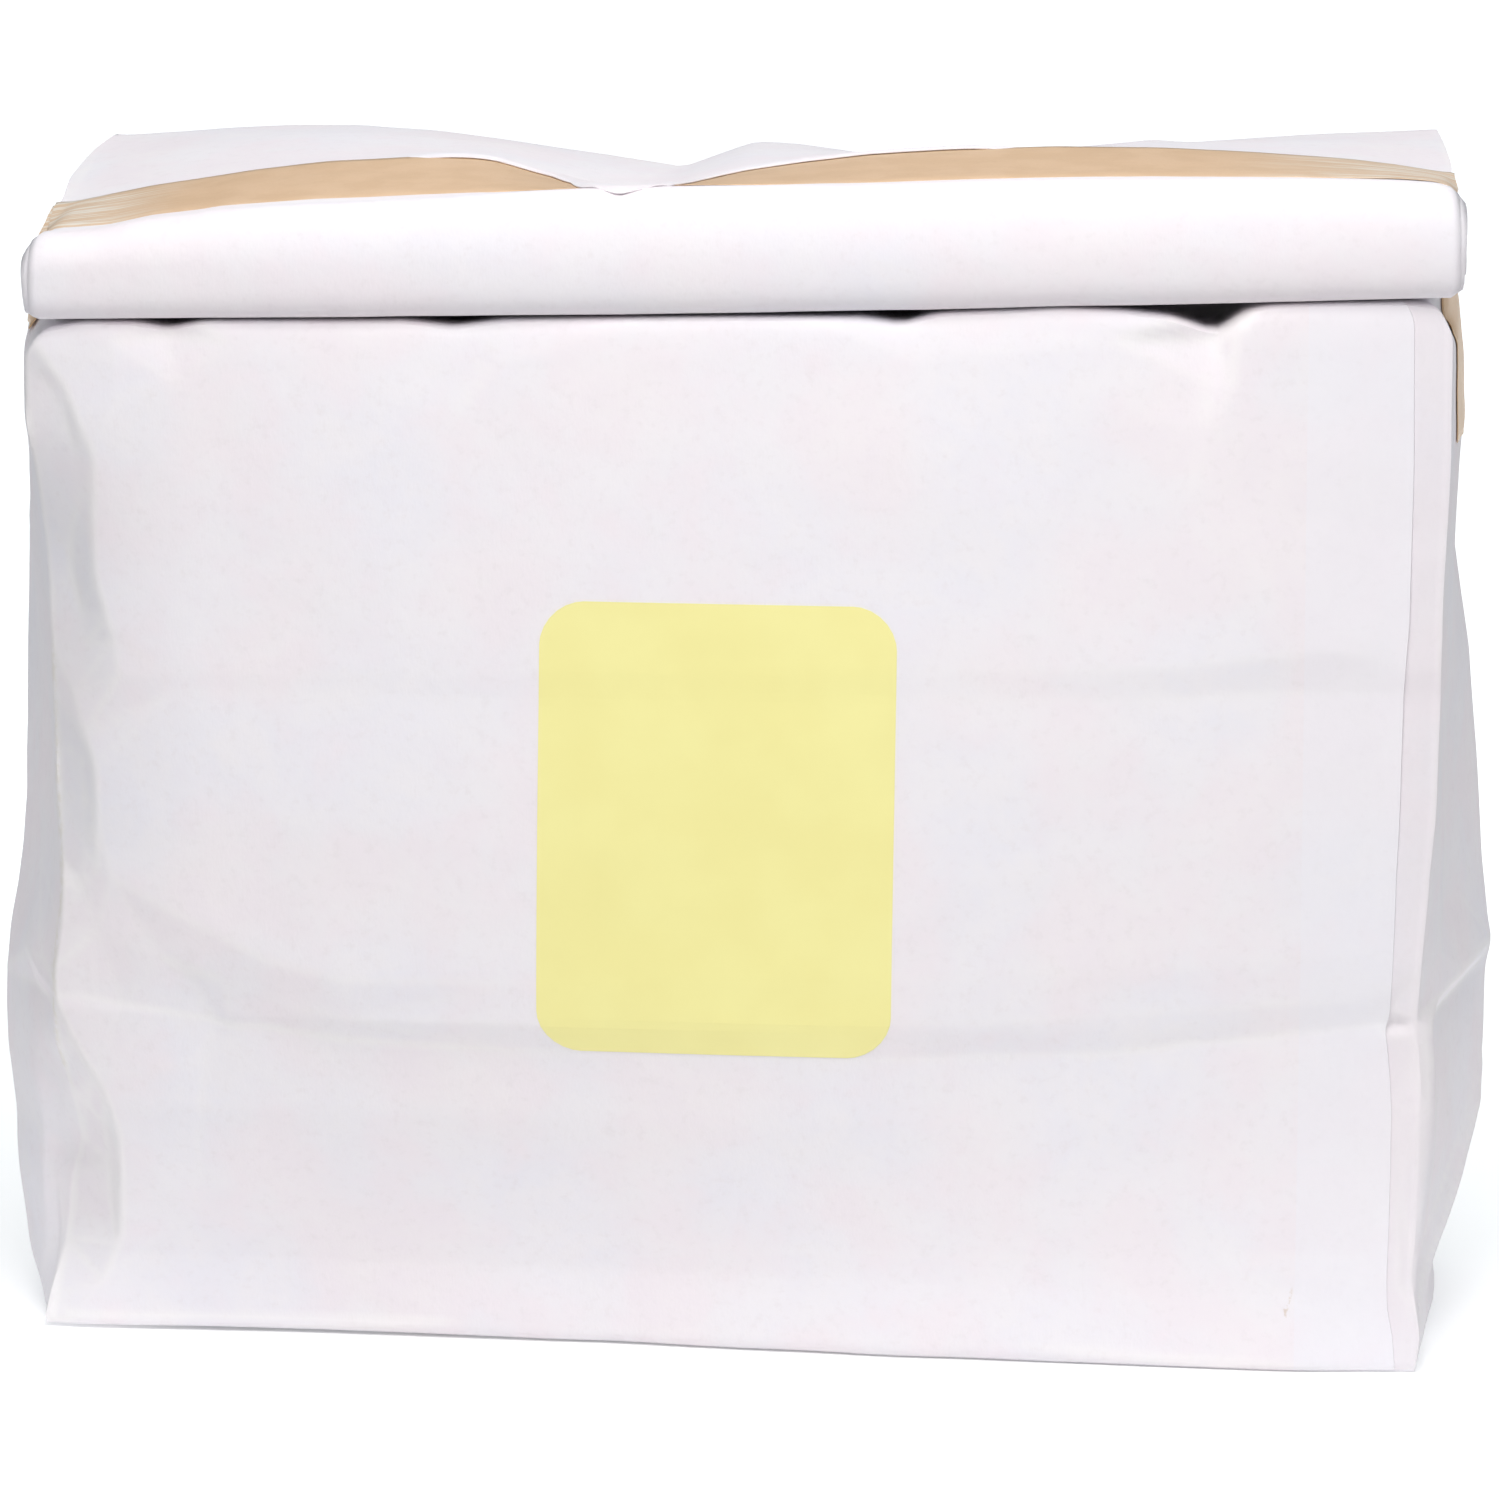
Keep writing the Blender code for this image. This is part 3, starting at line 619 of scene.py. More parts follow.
def behind_front(y, reach):
    """A fall from 1 at the front wall to 0 at that reach behind it. With -y it serves the back wall."""
    return fall(y, FRONT, FRONT + reach)


def gusset_reach(side, y, z, box_z):
    """How far a side wall stands out beyond the box: its push, its folds and the top sheet's overlap."""
    left = (left_gusset, left_folds, sheet_edge_left)
    right = (right_gusset, right_folds, sheet_edge_right)
    push, folds, edge = left if side < 0 else right
    wall = (push(z) - folds(0 * z, z)) * gusset_dome(y) + folds(y, z)
    groove = np.interp(box_z, (240, 245, 248.4, 249.3), (0, 0.3, 1.6, 2.4)) * ramp(np.abs(y + 26), 24, 30)
    return np.where(box_z > 249.4, edge(y), wall - groove)


def fill_bag(unit):
    """Places of the filled bag's points, in millimetres, from their places on the unit cube."""
    x, y, z = (spread(unit[:, axis], axis) for axis in range(3))
    on_front, box_x, box_z = y < FRONT + 1e-6, x.copy(), z.copy()
    y, z = rounded(y, z, BACK, HEIGHT, 6.0)
    y, z = rounded_floor(y, z, BACK, 3.5)
    y, z = rounded_floor(y, z, FRONT, 2.5)
    for side in (-SIDE, SIDE):
        x, z = rounded_floor(x, z, side, 2.5)
        x, y = rounded(x, y, side, BACK, 2.5)
        x, y = rounded(x, y, side, FRONT, 0.8)

    # Sideways: the lap's edge takes two rows along, the upright creases wander, the gussets stand out
    lap_step = flap_edge(z) - LAP_EDGE - (right_crease(z) - SIDE) * fall(SIDE - LAP_EDGE, 0, EDGE_REACH)
    x = x + lap_step * np.where(on_front, np.clip(1 - np.abs(x - LAP_EDGE) / 9, 0, 1), 0)
    near_left, near_right = fall(x + SIDE, 0, EDGE_REACH), fall(SIDE - x, 0, EDGE_REACH)
    wander = (left_crease(z) + SIDE) * near_left + (right_crease(z) - SIDE) * near_right
    x = x + wander * behind_front(y, 95) * ramp(-box_z, -249, -229)
    pinch = 5.0 * ramp(box_z, 219, 226) * ramp(-box_z, -246, -238) * behind_front(y, 35)
    x = x + pinch * (near_left - near_right)
    x = x + gusset_reach(1, y, z, box_z) * near_right - gusset_reach(-1, y, z, box_z) * near_left

    # Upward: the shoulder follows the roll, and the top sheet takes its waves
    near_front = behind_front(y, EDGE_REACH)
    box_rows, shoulder_z, shoulder_in, slot_in = zip(*SHOULDER)
    top_share = ramp(box_z, 229, HEIGHT)
    rise = (shoulder_top(x) - 225.2) * ramp(box_z, 190, 224) * (1 - top_share)
    rise += np.where(box_z < 232, np.interp(box_z, box_rows, shoulder_z) - box_z, 0) * (box_z > 214)
    new_z = z + rise * near_front + (folded_top(x, y) - HEIGHT) * top_share
    new_z += edge_lift(x) * fall(z, 0, 60) * behind_front(y, 35)
    new_z += np.where(box_z < 1e-6, bottom_folds(x, y), 0)

    # Fore and aft: the walls swell and fold, and turn in at the shoulder and the bottom
    swell = 5.0 * (1 - (np.clip(x, -SIDE, SIDE) / SIDE) ** 2) * np.sin(math.pi * np.clip(z / 226, 0, 1))
    swell -= 10.0 * fall(x, -152, -114) ** 2 * band(z, 6, 206, 36) * (y < 0)
    front_step = front_folds(np.clip(x, left_crease(z), right_crease(z)), new_z) * ramp(-box_z, -232, -226)
    lifted = np.interp(z, (60, 76, 90, 146, 160, 185, 200), (0.1, 0.5, 0.1, 0.6, 0.7, 0.2, 0.05))
    lap = np.where(box_x > LAP_EDGE, 0.4, -lifted * np.clip(1 - (flap_edge(z) - x) / 5, 0, 1))
    front_step += np.where(on_front & (box_x > 100), lap * fall(box_x, 148, 150), 0)
    new_y = y + swell * y / BACK
    new_y += front_step * behind_front(y, 30) - back_folds(-x, new_z) * behind_front(-y, 30)
    new_y += np.interp(box_z, box_rows, shoulder_in) * near_front
    new_y += np.interp(box_z, box_rows, slot_in) * on_front * ramp(SIDE - np.abs(box_x), 0, 9)
    tuck_share = np.interp(z, (0, 17, 34, 54, 76), (1, 0.9, 0.56, 0.22, 0))
    new_y += np.where(y < 0, edge_tuck(x) * tuck_share * fall(y, FRONT, 0), 0)
    new_y -= np.where(y > 0, 4.0 * fall(z, 0, 14) ** 2 * fall(-y, FRONT, 0), 0)
    return np.stack([x, new_y, new_z], axis=1)


def mesh_points(made):
    """All of a mesh's points, as one array."""
    points = np.empty(len(made.data.vertices) * 3)
    made.data.vertices.foreach_get("co", points)
    return points.reshape(-1, 3)


def bag_points(made):
    """All of a mesh's points, in millimetres on the bag."""
    return (mesh_points(made) - np.array(SHIFT)) / MM


def place_points(made, millimetres):
    """Moves a mesh's points to places in millimetres on the bag."""
    made.data.vertices.foreach_set("co", (millimetres * MM + np.array(SHIFT)).ravel())
    made.data.update()


unit_points = mesh_points(walls)
wall_points = fill_bag(unit_points)
place_points(walls, wall_points)
smooth(walls)
print("walls reach", wall_points.min(0).round(1), wall_points.max(0).round(1))

# %% [markdown]
# ## The rolled mouth
#
# The real mouth is a flat tube that was rolled up by hand, so the model does the same: a flat grid whose
# one direction is the length of paper. A rule sends each point along a spiral, and the paper gets its
# thickness last. Two walls of the tube lie on each other, so there are two such sheets, one just inside the
# other.

# %% Winding up a sheet
ROLL_Y, ROLL_HALF_DEPTH, ROLL_TURNS = -61.4, 8.4, 2.7
UPPER_SQUARENESS, LOWER_SQUARENESS = 2.5, 3.6  # 2 would be a round section, more is a flattened one
LAYER_GAP = 1.35  # how much each turn lies inside the one before
PAPER = 0.22
MOUTH_START, MOUTH_CLEARANCE = -34, 0.25  # where its path starts, and how far it lies above the top sheet
MOUTH_ROWS, MOUTH_COLUMNS, FLAT_POINTS = 150, 130, 16
NOMINAL_HALF = 10  # half the roll's height, for measuring the path's length
SEEN_LENGTH = 70  # the length of the path that shows


def thicken(sheet, thickness, offset=-1):
    """Gives a sheet its thickness in millimetres, and applies it."""
    bpy.context.view_layer.objects.active = sheet
    wall = sheet.modifiers.new("thickness", "SOLIDIFY")
    wall.thickness = thickness * MM
    wall.offset = offset
    wall.use_even_offset = True
    bpy.ops.object.modifier_apply(modifier="thickness")


def spiral(inset):
    """One wall of the mouth, from under the tape to the core, as rows of (y, height share, inset)."""
    flat = [(y, 1.0, 0.0) for y in np.linspace(MOUTH_START, ROLL_Y - 0.001, FLAT_POINTS)]
    loop = []
    for angle in np.radians(np.arange(3, ROLL_TURNS * 360, 3)):
        into = LAYER_GAP * angle / (2 * math.pi)
        sine, cosine = math.sin(angle), math.cos(angle)
        power = 2 / (UPPER_SQUARENESS if cosine > 0 else LOWER_SQUARENESS)
        across, up = math.copysign(abs(sine) ** power, sine), math.copysign(abs(cosine) ** power, cosine)
        loop.append((ROLL_Y - across * (ROLL_HALF_DEPTH - into - inset), up, into + inset))
    return np.array(flat + loop)


def wind_up(name, inset, seed, left_end, right_end):
    """A sheet of the mouth's paper, wound along the spiral."""
    path = spiral(inset)
    heights = path[:, 1] * NOMINAL_HALF - path[:, 2]
    length = np.concatenate([[0], np.cumsum(np.hypot(np.diff(path[:, 0]), np.diff(heights)))])
    along = np.linspace(0, length[-1], MOUTH_ROWS)
    y, up, into = (np.interp(along, length, path[:, column]) for column in range(3))
    start_clean()
    bpy.ops.mesh.primitive_grid_add(x_subdivisions=MOUTH_COLUMNS, y_subdivisions=MOUTH_ROWS - 1, size=1)
    sheet = name_it(name)
    points = mesh_points(sheet)
    row = np.rint((points[:, 1] + 0.5) * (MOUTH_ROWS - 1)).astype(int)
    unit = np.sign(points[:, 0]) * np.abs(points[:, 0] * 2) ** 0.75 / 2  # closer columns near both ends
    seen = along[row] < SEEN_LENGTH
    ragged = cockle((MOUTH_ROWS * 2, 8), seed, (4, 0.3))[row, 4] - 1.6 * ramp(-up, 0.8, 1)[row] * seen
    x = left_end + (unit + 0.5) * (right_end - left_end)
    x = x + np.sign(unit) * ragged * ramp(np.abs(unit), 0.46, 0.5)
    crest, low = roll_crest(x) + MOUTH_CLEARANCE, roll_underside(x)
    middle, half = (crest + low) / 2, (crest - low) / 2
    on_sheet = top_height(x, y[row]) + MOUTH_CLEARANCE - inset + rise_to_roll(y[row])
    z = np.where(along[row] < length[FLAT_POINTS - 1], on_sheet, middle + up[row] * (half - into[row]))
    dents = FoldMap((-160, 160), (-4, 140), (), 1.0, ((26, 0.4), (10, 0.16), (4, 0.05)), seed)
    z += dents(x, along[row]) * ramp(along[row], 22, 34) * 0.6
    y = y[row] + dents(-x, along[row]) * ramp(along[row], 30, 40)
    y = y - 0.8 * fall(np.sqrt((z - roll_ridge(x)) ** 2 + 1.5), 0, 11) * (y < ROLL_Y) * seen
    place_points(sheet, np.stack([x, y, z], axis=1))
    smooth(sheet)
    thicken(sheet, PAPER)
    return sheet


outer_mouth = wind_up("rolled_mouth_outer", 0.0, 71, -148.9, 149.9)
inner_mouth = wind_up("rolled_mouth_inner", 0.55, 83, -150.0, 150.8)
print("the roll has", len(outer_mouth.data.polygons) + len(inner_mouth.data.polygons), "faces")

# %% [markdown]
# ## The tape
#
# The tape lies on the top sheet and down both gussets, so it is copied from the very faces that it covers:
# they are picked by their rows on the cube, duplicated, and lifted along their normals. That way every wave
# of the paper shows in the tape too, and nothing can poke through it.

# %% Tape
TAPE_ENDS = {-1: 222.0, 1: 199.0}  # the lowest place of the tape on the left and the right gusset
TAPE_CLEARANCE = {"top": 0.62, "side": 0.25}
TAPE_FILM = 0.10


def copy_of_faces(source, name, wanted):
    """A new object from a copy of some faces of another one."""
    start_clean()
    source.select_set(True)
    bpy.context.view_layer.objects.active = source
    bpy.ops.object.duplicate()
    copied = name_it(name)
    bpy.ops.object.mode_set(mode="EDIT")
    bpy.ops.mesh.select_mode(type="FACE")
    bpy.ops.mesh.select_all(action="DESELECT")
    mesh = bmesh.from_edit_mesh(copied.data)
    mesh.faces.ensure_lookup_table()
    for face, keep in zip(mesh.faces, wanted):
        face.select = not keep
    bmesh.update_edit_mesh(copied.data)
    bpy.ops.mesh.delete(type="FACE")
    bpy.ops.object.mode_set(mode="OBJECT")
    return copied


def face_middles(source, values):
    """The mean of an array of point values over each face."""
    return np.array([values[list(polygon.vertices)].mean(axis=0) for polygon in source.data.polygons])


unit_middles = face_middles(walls, unit_points)
wall_middles = face_middles(walls, wall_points)
box_y = spread(unit_middles[:, 1], 1)
in_band = (box_y > TAPE_NEAR - 1e-6) & (box_y < TAPE_FAR + 1e-6)
lowest = np.where(wall_middles[:, 0] < 0, TAPE_ENDS[-1], TAPE_ENDS[1])
on_top = unit_middles[:, 2] > ON_FACE
on_gusset = (np.abs(unit_middles[:, 0]) > ON_FACE) & (wall_middles[:, 2] > lowest)
tape = copy_of_faces(walls, "closing_tape_strip", in_band & (on_top | on_gusset))
normals = np.empty(len(tape.data.vertices) * 3)
tape.data.vertices.foreach_get("normal", normals)
normals = normals.reshape(-1, 3)
lift = np.where(normals[:, 2:] > 0.5, TAPE_CLEARANCE["top"], TAPE_CLEARANCE["side"])
place_points(tape, bag_points(tape) + normals * lift)
thicken(tape, TAPE_FILM, 1)
print("the tape has", len(tape.data.polygons), "faces")

# %% [markdown]
# ## The pleat
#
# Left of the middle the powder has sunk, and the top sheet has folded forward over the tape in a shallow
# pleat whose tip lies on the roll. It is made as one more sheet: its front edge follows points that were
# read from the photograph, its back edge runs out on the top sheet, and between them it clears the tape.

# %% Pleat
PLEAT_EDGE = (
    (-84, -3.4, 253), (-56.7, -3.6, 253), (-51, -4.5, 253), (-44, -9, 251), (-38.5, -22, 251),
    (-35.5, -42, 252.2), (-33.0, -58, 253.1), (-29.2, -63.4, 253.1), (-24.9, -67.0, 252.2),
    (-20.2, -64.2, 253.2), (-16.4, -60, 253.5), (-14.0, -42, 252.2), (-10.6, -20, 250), (-6.5, -8, 251),
    (-1.9, -4.6, 252), (10, -3.6, 253), (25, -3.4, 255), (66, -3.2, 256),
)
PLEAT_BACK = 9.0
PLEAT_PAPER, PLEAT_COVER = 0.26, 1.08
PLEAT_COLUMNS, PLEAT_ROWS = 120, 26


def make_pleat():
    """The pleat's sheet, from its front edge to where it runs out on the top sheet."""
    start_clean()
    bpy.ops.mesh.primitive_grid_add(x_subdivisions=PLEAT_COLUMNS, y_subdivisions=PLEAT_ROWS, size=1)
    made = name_it("top_pleat")
    points = mesh_points(made)
    across, back = points[:, 0] + 0.5, (points[:, 1] + 0.5) ** 1.3
    edge = np.array(PLEAT_EDGE)
    reach = np.concatenate([[0], np.cumsum(np.hypot(*np.diff(edge[:, :2], axis=0).T))])
    share = np.linspace(0, 1, 400)
    x, y, z = (blurred(np.interp(share * reach[-1], reach, edge[:, axis]), 1.6) for axis in range(3))
    front_x, front_y, front_z = (np.interp(across, share, line_of) for line_of in (x, y, z))
    x, y = front_x, front_y + (PLEAT_BACK - front_y) * back
    sheet_z = folded_top(x, y)
    cover = sheet_z + rise_to_roll(y) + PLEAT_COVER - 0.3 * ramp(-y, 49.6, 52)
    run_out = front_z + (sheet_z + 0.1 - front_z) * ramp(back, 0.1, 0.9)
    over_tape = np.maximum(run_out, cover * ramp(-y, -3, 1))
    down_the_roll = front_z + (cover - front_z) * ramp(back, 0, 0.12)
    z = np.where(y < -62, down_the_roll, over_tape) - 0.5 * np.clip(back - 0.86, 0, 1) / 0.14
    z = z + 0.5 * np.sin(math.pi * np.clip(back * 3, 0, 1)) * ramp(y, -30, -4)
    z = z - 1.3 * (1 - ramp(across, 0, 0.08) * ramp(1 - across, 0, 0.08))
    place_points(made, np.stack([x, y, z], axis=1))
    smooth(made)
    thicken(made, PLEAT_PAPER)
    return made


pleat = make_pleat()
print("the pleat has", len(pleat.data.polygons), "faces")

# %% [markdown]
# ## The label
#
# A label is a rectangle with round corners. A grid gives it enough faces to follow the wall, and each
# corner is rounded by bisecting it with a few planes, as a paper knife would. Then every point drops onto
# the wall.

# %% Label
LABEL_WIDTH, LABEL_HEIGHT, LABEL_CORNER = 75.3, 96.9, 9.8
LABEL_MIDDLE, LABEL_LEAN = (-4.7, 118.0), math.radians(-0.75)
LABEL_CLEARANCE, LABEL_PAPER = 0.14, 0.11
CORNER_CUTS = 7

start_clean()
bpy.ops.mesh.primitive_grid_add(x_subdivisions=40, y_subdivisions=52, size=1)
label = name_it("yellow_label")
bpy.ops.object.mode_set(mode="EDIT")
bpy.ops.mesh.select_all(action="SELECT")
bpy.ops.transform.resize(value=(LABEL_WIDTH, LABEL_HEIGHT, 1))
for side_x in (-1, 1):
    for side_z in (-1, 1):
        across, up = LABEL_WIDTH / 2 - LABEL_CORNER, LABEL_HEIGHT / 2 - LABEL_CORNER
        centre = Vector((side_x * across, side_z * up, 0))
        for cut in range(CORNER_CUTS):
            angle = math.radians(90 * (cut + 0.5) / CORNER_CUTS)
            way = Vector((side_x * math.cos(angle), side_z * math.sin(angle), 0))
            bpy.ops.mesh.select_all(action="SELECT")
            bpy.ops.mesh.bisect(plane_co=centre + way * LABEL_CORNER, plane_no=way, clear_outer=True)
bpy.ops.object.mode_set(mode="OBJECT")

wall_tree = bvhtree.BVHTree.FromPolygons(
    [Vector(point) for point in wall_points], [tuple(polygon.vertices) for polygon in walls.data.polygons]
)


def front_of_wall(x, z):
    """How far forward the front wall comes at a place, in millimetres."""
    hit = wall_tree.ray_cast(Vector((x, -200, z)), Vector((0, 1, 0)))
    return hit[0].y


def stick_on_front(made, clearance):
    """Turns a flat outline drawn around the label's middle upright and drops it onto the front wall."""
    flat = mesh_points(made)
    sine, cosine = math.sin(LABEL_LEAN), math.cos(LABEL_LEAN)
    x = LABEL_MIDDLE[0] + flat[:, 0] * cosine - flat[:, 1] * sine
    z = LABEL_MIDDLE[1] + flat[:, 0] * sine + flat[:, 1] * cosine
    y = np.array([front_of_wall(*at) for at in zip(x, z)]) - clearance
    place_points(made, np.stack([x, y, z], axis=1))


stick_on_front(label, LABEL_CLEARANCE)
thicken(label, LABEL_PAPER)
print("the label has", len(label.data.polygons), "faces")

# %% [markdown]
# ## Shader helpers
#
# Materials are sums and products of patterns. A small class wraps a node's socket, so that the sums can be
# written as plain Python, and one method adds any other node.

# %% Sockets as numbers
class Socket:
    """A value in a material's node tree that can be added, multiplied and so on."""

    def __init__(self, tree, socket):
        self.tree, self.socket = tree, socket

    def math(self, operation, *others):
        """This value and others, joined by an operation."""
        return self.tree.add("ShaderNodeMath", {"operation": operation}, dict(enumerate((self, *others))))

    def __add__(self, other):
        return self.math("ADD", other)

    def __mul__(self, other):
        return self.math("MULTIPLY", other)

    def __sub__(self, other):
        return self.math("SUBTRACT", other)

    def __rsub__(self, other):
        return self.tree.add("ShaderNodeMath", {"operation": "SUBTRACT"}, {0: other, 1: self})

    def __truediv__(self, other):
        return self.math("DIVIDE", other)

    def __abs__(self):
        return self.math("ABSOLUTE")

    __radd__, __rmul__ = __add__, __mul__

    def step(self, low, high):
        """0 under low, 1 over high, smooth between."""
        return self.tree.add(
            "ShaderNodeMapRange", {"interpolation_type": "SMOOTHSTEP"},
            {"Value": self, "From Min": low, "From Max": high},
        )


class Finish:
    """A material that is being built."""

    def __init__(self, name, **constants):
        self.material = bpy.data.materials.new(name)
        self.material.use_nodes = True
        self.nodes = self.material.node_tree.nodes
        self.shader = self.nodes["Principled BSDF"]
        for socket, value in constants.items():
            self.shader.inputs[socket.replace("_", " ")].default_value = value

    def add(self, kind, settings, inputs, output=0):
        """Any node: its settings first, then the values or links of its sockets. Gives back one output."""
        node = self.nodes.new(kind)
        for key, value in settings.items():
            setattr(node, key, value)
        for key, value in inputs.items():
            if isinstance(value, Socket):
                self.material.node_tree.links.new(value.socket, node.inputs[key])
            else:
                node.inputs[key].default_value = value
        return Socket(self, node.outputs[output])

    def place(self, scale=(1, 1, 1)):
        """Object coordinates, in metres, perhaps stretched."""
        where = self.add("ShaderNodeTexCoord", {}, {}, "Object")
        return self.add("ShaderNodeMapping", {}, {"Vector": where, "Scale": scale})

    def along(self, axis):
        """One coordinate in millimetres on the bag."""
        return self.add("ShaderNodeSeparateXYZ", {}, {"Vector": self.place()}, axis) / MM - SHIFT[axis] / MM

    def noise(self, size, detail=2.0, roughness=0.5, scale=(1, 1, 1)):
        """Cloudy noise around 0.5, with clouds of about that size in millimetres."""
        return self.add(
            "ShaderNodeTexNoise", {},
            {"Vector": self.place(scale), "Scale": 1 / (size * MM), "Detail": detail,
             "Roughness": roughness},
        )

    def attribute(self, name):
        """A number that is kept for each point of the mesh."""
        return self.add("ShaderNodeAttribute", {"attribute_name": name}, {}, "Fac")

    def mix(self, share, first, second):
        """A blend of two colours."""
        return self.add("ShaderNodeMix", {"data_type": "RGBA"}, {0: share, 6: first, 7: second}, 2)

    def bump(self, height, distance, normal=None):
        """Relief from a height of 0 to 1 that stands for that many millimetres."""
        inputs = {"Height": height, "Distance": distance * MM, "Strength": 1.0}
        if normal:
            inputs["Normal"] = normal
        return self.add("ShaderNodeBump", {}, inputs)

    def wear(self, **sockets):
        """Links the sockets of the shader that vary over the surface."""
        for socket, value in sockets.items():
            self.material.node_tree.links.new(value.socket, self.shader.inputs[socket.replace("_", " ")])
        return self.material


def colour(red, green, blue):
    """A colour from 0 to 255, as a monitor shows it, turned into light."""
    def light(value):
        value /= 255
        return value / 12.92 if value <= 0.04045 else ((value + 0.055) / 1.055) ** 2.4
    return (light(red), light(green), light(blue), 1.0)


print("as light, a paper white is", *(round(part, 2) for part in colour(237, 230, 235)[:3]))


# %% [markdown]
# ## White paper
#
# Bleached kraft is not one white. Its fibres clump into soft clouds, creases are rubbed pale and carry a
# painted highlight, the glued lap is whiter because it has paper behind it, and a faint brown scratch
# crosses the paper near the lower right corner. Fibres and small cockles are relief too fine for the mesh,
# so they are bumps.

# %% Paper
SCRATCH_AT, SCRATCH_LEAN = 114.2, 0.22
LAP_HIDDEN_EDGE = 118.6  # the lap's other edge, behind the front wall


def make_paper():
    """The paper of the bag."""
    paper = Finish("white_kraft", Roughness=0.8, IOR=1.4)
    clouds = paper.noise(13, 3, 0.6)
    hues = paper.noise(26, 3, 0.6)
    flecks = paper.noise(2.4, 3, 0.65)
    fibres = paper.noise(0.5, 2, 0.6, (1, 1, 0.35))
    x, z = paper.along(0), paper.along(2)
    base = paper.mix(hues.step(0.38, 0.62), colour(237, 230, 235), colour(233, 231, 238))
    base = paper.mix(clouds.step(0.3, 0.7) * 0.5, base, colour(240, 235, 236))
    base = paper.mix(flecks.step(0.5, 0.8) * 0.3, base, colour(224, 217, 220))
    # Creases are paler: partly from wear, partly a painted highlight where the paper is bent sharply.
    base = paper.mix(paper.attribute("crease") * 0.4, base, colour(244, 242, 240))
    base = paper.mix(paper.attribute("rubbed") * flecks.step(0.35, 0.6) * 0.45, base, colour(226, 220, 206))
    on_lap = paper.attribute("lap")
    over_lap = on_lap * (x - LAP_HIDDEN_EDGE).step(0, 0.3)
    base = paper.mix(over_lap * 0.5, base, colour(236, 234, 240))
    base = paper.mix(paper.attribute("under") * 0.5, base, colour(230, 223, 228))
    wobble = (flecks - 0.5) * 2.2
    scratch = 1 - abs(x - z * SCRATCH_LEAN - SCRATCH_AT + wobble).step(0.05, 0.4)
    stained = scratch * z.step(10, 12) * (1 - z.step(17, 19)) * flecks.step(0.4, 0.56) * on_lap
    base = paper.mix(stained * 0.5, base, colour(204, 182, 158))
    normal = paper.bump(fibres, 0.03)
    normal = paper.bump(paper.noise(3.2, 2, 0.5), 0.09, normal)
    return paper.wear(Base_Color=base, Normal=normal, Roughness=0.74 + clouds * 0.14)


def store(made, name, values):
    """Keeps one number for each point of a mesh, for its material to read."""
    made.data.attributes.new(name, "FLOAT", "POINT").data.foreach_set("value", values.astype(np.float32))


def clad(made, material):
    """Gives an object one material."""
    made.data.materials.clear()
    made.data.materials.append(material)


def wear_and_highlight():
    """How sharply each point of the walls is bent, from the fold map of the wall that it is on: crease wear
    and painted highlight.
    """
    x, y, z = wall_points.T
    worn_and_highlighted = np.zeros(len(x))
    for axis, side, folds, across, up in (
        (1, -1, front_folds, x, z), (1, 1, back_folds, -x, z), (0, -1, left_folds, y, z),
        (0, 1, right_folds, y, z), (2, 1, top_folds, x, y), (2, -1, bottom_folds, x, y),
    ):
        here = np.maximum(worn_and_highlighted, folds.read(folds.wear(), across, up))
        worn_and_highlighted = np.where(unit_points[:, axis] * side > ON_FACE, here, worn_and_highlighted)
    return worn_and_highlighted


paper = make_paper()
x, y, z = wall_points.T
right_front = (unit_points[:, 1] < -ON_FACE) & (x > 100)
past_edge = spread(unit_points[:, 0], 0) > LAP_EDGE
marks = {
    "crease": wear_and_highlight(),
    "lap": right_front & ~past_edge,
    "under": right_front & past_edge,
    "rubbed": np.exp(-(((x - left_crease(z)) / 0.7) ** 2)) * band(z, 22, 160, 12) * (y < -40),
}
for name, values in marks.items():
    store(walls, name, values)
    for sheet in (outer_mouth, inner_mouth, pleat):
        store(sheet, name, np.zeros(len(sheet.data.vertices)))
for piece in (walls, outer_mouth, inner_mouth, pleat):
    clad(piece, paper)
print("the paper is worn at", int((marks["crease"] > 0.5).sum()), "points")

# %% [markdown]
# ## Buff tape and yellow label
#
# The tape is a smooth buff film with glue behind it. Where it doesn't touch the paper, near both ends, it
# turns pale and streaky. The label is smooth coated paper of one yellow.

# %% Tape and label
def make_tape():
    """The tape's film, pale and streaky where it is loose."""
    film = Finish("buff_film", Roughness=0.34, IOR=1.45)
    speckles = film.noise(0.7, 2, 0.7)
    clouds = film.noise(9, 2, 0.5)
    streaks = film.noise(1.6, 3, 0.6, (0.06, 1, 0.06))
    base = film.mix(clouds.step(0.35, 0.65), colour(214, 177, 137), colour(220, 184, 146))
    base = film.mix(speckles.step(0.62, 0.75) * 0.4, base, colour(196, 158, 116))
    loose = film.attribute("loose")
    base = film.mix(loose * (0.2 + streaks.step(0.5, 0.58) * 0.75), base, colour(236, 227, 214))
    normal = film.bump(streaks, 0.05, film.bump(clouds, 0.12))
    return film.wear(Base_Color=base, Normal=normal, Roughness=0.32 + speckles * 0.16)


def make_label():
    """The label's coated paper."""
    stock = Finish("yellow_label_stock", Roughness=0.5, IOR=1.5)
    clouds = stock.noise(16, 2, 0.5)
    base = stock.mix(clouds.step(0.3, 0.7), colour(243, 235, 159), colour(245, 238, 163))
    normal = stock.bump(stock.noise(0.6, 2, 0.5), 0.012)
    return stock.wear(Base_Color=base, Normal=normal, Roughness=0.45 + clouds * 0.1)


tape_x, tape_y, tape_z = bag_points(tape).T
loose = np.maximum(ramp(-tape_x, 118, 144), ramp(tape_x, 98, 142)) * ramp(tape_z, 238, 244)
store(tape, "loose", loose)
clad(tape, make_tape())
clad(label, make_label())
print("the tape is loose at", int((loose > 0.5).sum()), "points")

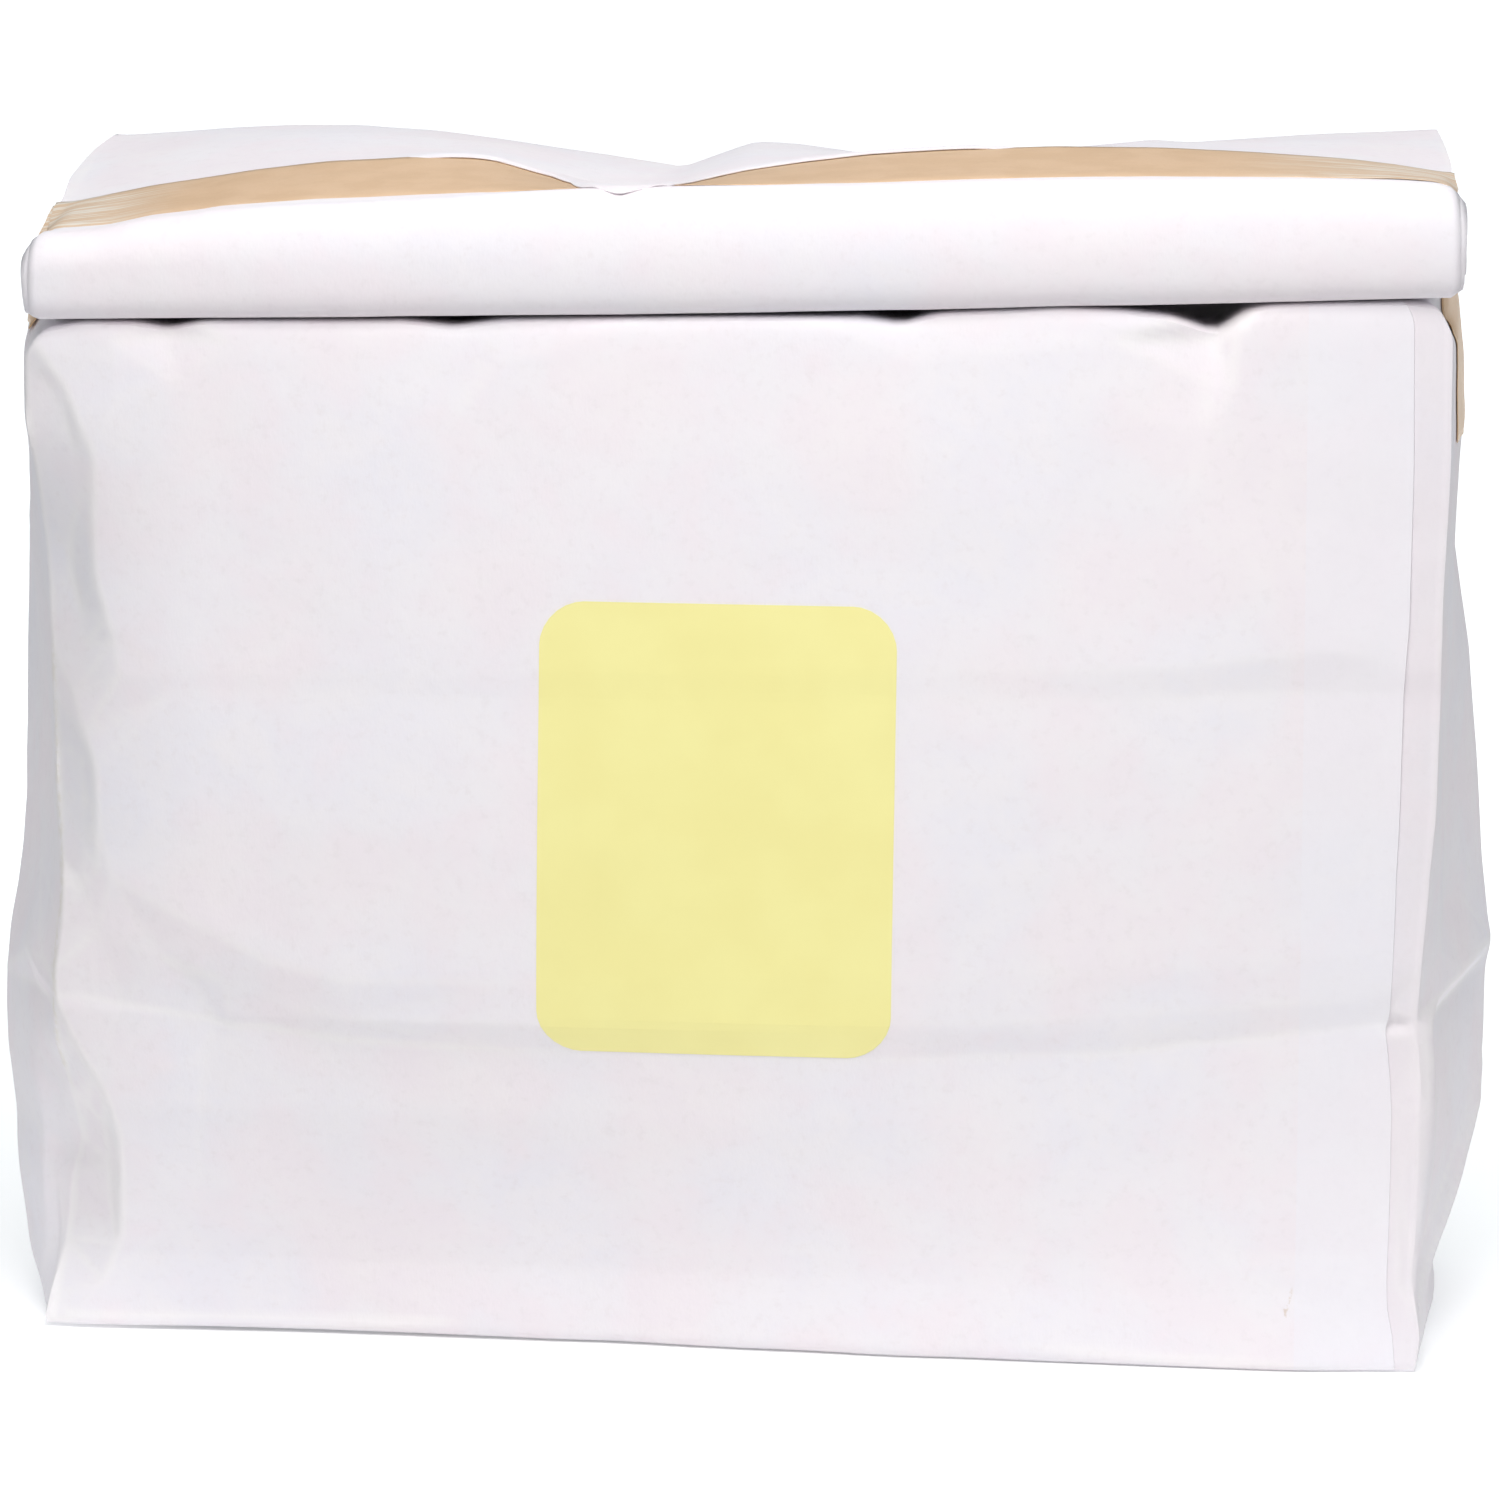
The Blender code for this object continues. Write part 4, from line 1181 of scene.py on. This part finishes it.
# %% [markdown]
# ## Floor and light
#
# The stage is one wide floor. It is white near the bag, and darker in front of it, outside the picture, so
# that the folds keep their shadows. It glows a little under and beside the bag and more far behind it,
# which gives a white background. A slightly warm soft box stands in front, 45 degrees up and a little to
# the right. A weak, wide sun from above and a soft light behind are cool, as the photograph's whites are.

# %% Stage
FLOOR_GLOW, BACKDROP_GLOW, SIDE_GLOW = 0.13, 0.78, 0.25
FLOOR_DARK, FLOOR_WHITE = 0.34, 0.95
# In millimetres on the bag: where the floor turns white, and where its glows rise
TURNS_WHITE, GLOWS_BEHIND = (-236, -172), (-40, 900)
GLOWS_BESIDE, BESIDE_IN_DEPTH = (110, 160), (-220, -60)
WORLD_LIGHT, SUN_LIGHT, SUN_WIDTH = 0.32, 0.54, math.radians(60)
COOL, WARM = (0.95, 0.985, 1.0), (1.0, 0.98, 0.97)


def grey(value, tint=(1, 1, 1)):
    """A grey of that strength, perhaps tinted."""
    return (*(value * part for part in tint), 1)


start_clean()
bpy.ops.mesh.primitive_grid_add(x_subdivisions=4, y_subdivisions=4, size=60)
floor = name_it("floor")
ground = Finish("pale_floor", Roughness=1.0, Specular_IOR_Level=0.0, Emission_Strength=1.0)
width, depth = ground.along(0), ground.along(1)
beside = abs(width).step(*GLOWS_BESIDE) * depth.step(*BESIDE_IN_DEPTH)
glow = depth.step(*GLOWS_BEHIND) + beside * SIDE_GLOW
floor.data.materials.append(ground.wear(
    Base_Color=ground.mix(depth.step(*TURNS_WHITE), grey(FLOOR_DARK), grey(FLOOR_WHITE)),
    Emission_Color=ground.mix(glow, grey(FLOOR_GLOW, COOL), grey(BACKDROP_GLOW, COOL)),
))
floor.location.z = -0.0002

world = bpy.data.worlds.new("soft_light")
bpy.context.scene.world = world
world.use_nodes = True
sky = world.node_tree.nodes["Background"]
sky.inputs["Color"].default_value = (*COOL, 1)
sky.inputs["Strength"].default_value = WORLD_LIGHT
bpy.context.scene.view_settings.view_transform = "Standard"

place, turn = look_from(2, 82, 0)
bpy.ops.object.light_add(type="SUN", location=place, rotation=turn)
top_light = name_it("top_light")
top_light.data.energy, top_light.data.angle, top_light.data.color = SUN_LIGHT, SUN_WIDTH, COOL

for name, distance, elevation, azimuth, power, size, tint in (
    ("soft_box", 0.75, 45, 5, 4.1, 0.45, WARM), ("back_light", 1.1, 50, 178, 1.5, 0.8, COOL),
):
    place, turn = look_from(distance, elevation, azimuth)
    bpy.ops.object.light_add(type="AREA", location=place, rotation=turn)
    light = name_it(name)
    light.data.energy, light.data.size, light.data.color = power, size, tint
print("the stage has a floor and three lights")

# %% [markdown]
# ## Handing over
#
# Each piece rides on the bag's only body and stands for its solid, which is hidden.

# %% Hand over
PIECES = (
    (walls, "paper_bag", "white_paper"), (outer_mouth, "paper_bag", "white_paper"),
    (inner_mouth, "paper_bag", "white_paper"), (pleat, "paper_bag", "white_paper"),
    (tape, "closing_tape", "buff_tape"), (label, "paper_label", "yellow_label"),
)
for piece, node, slot in PIECES:
    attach(piece, "root")
    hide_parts(node)
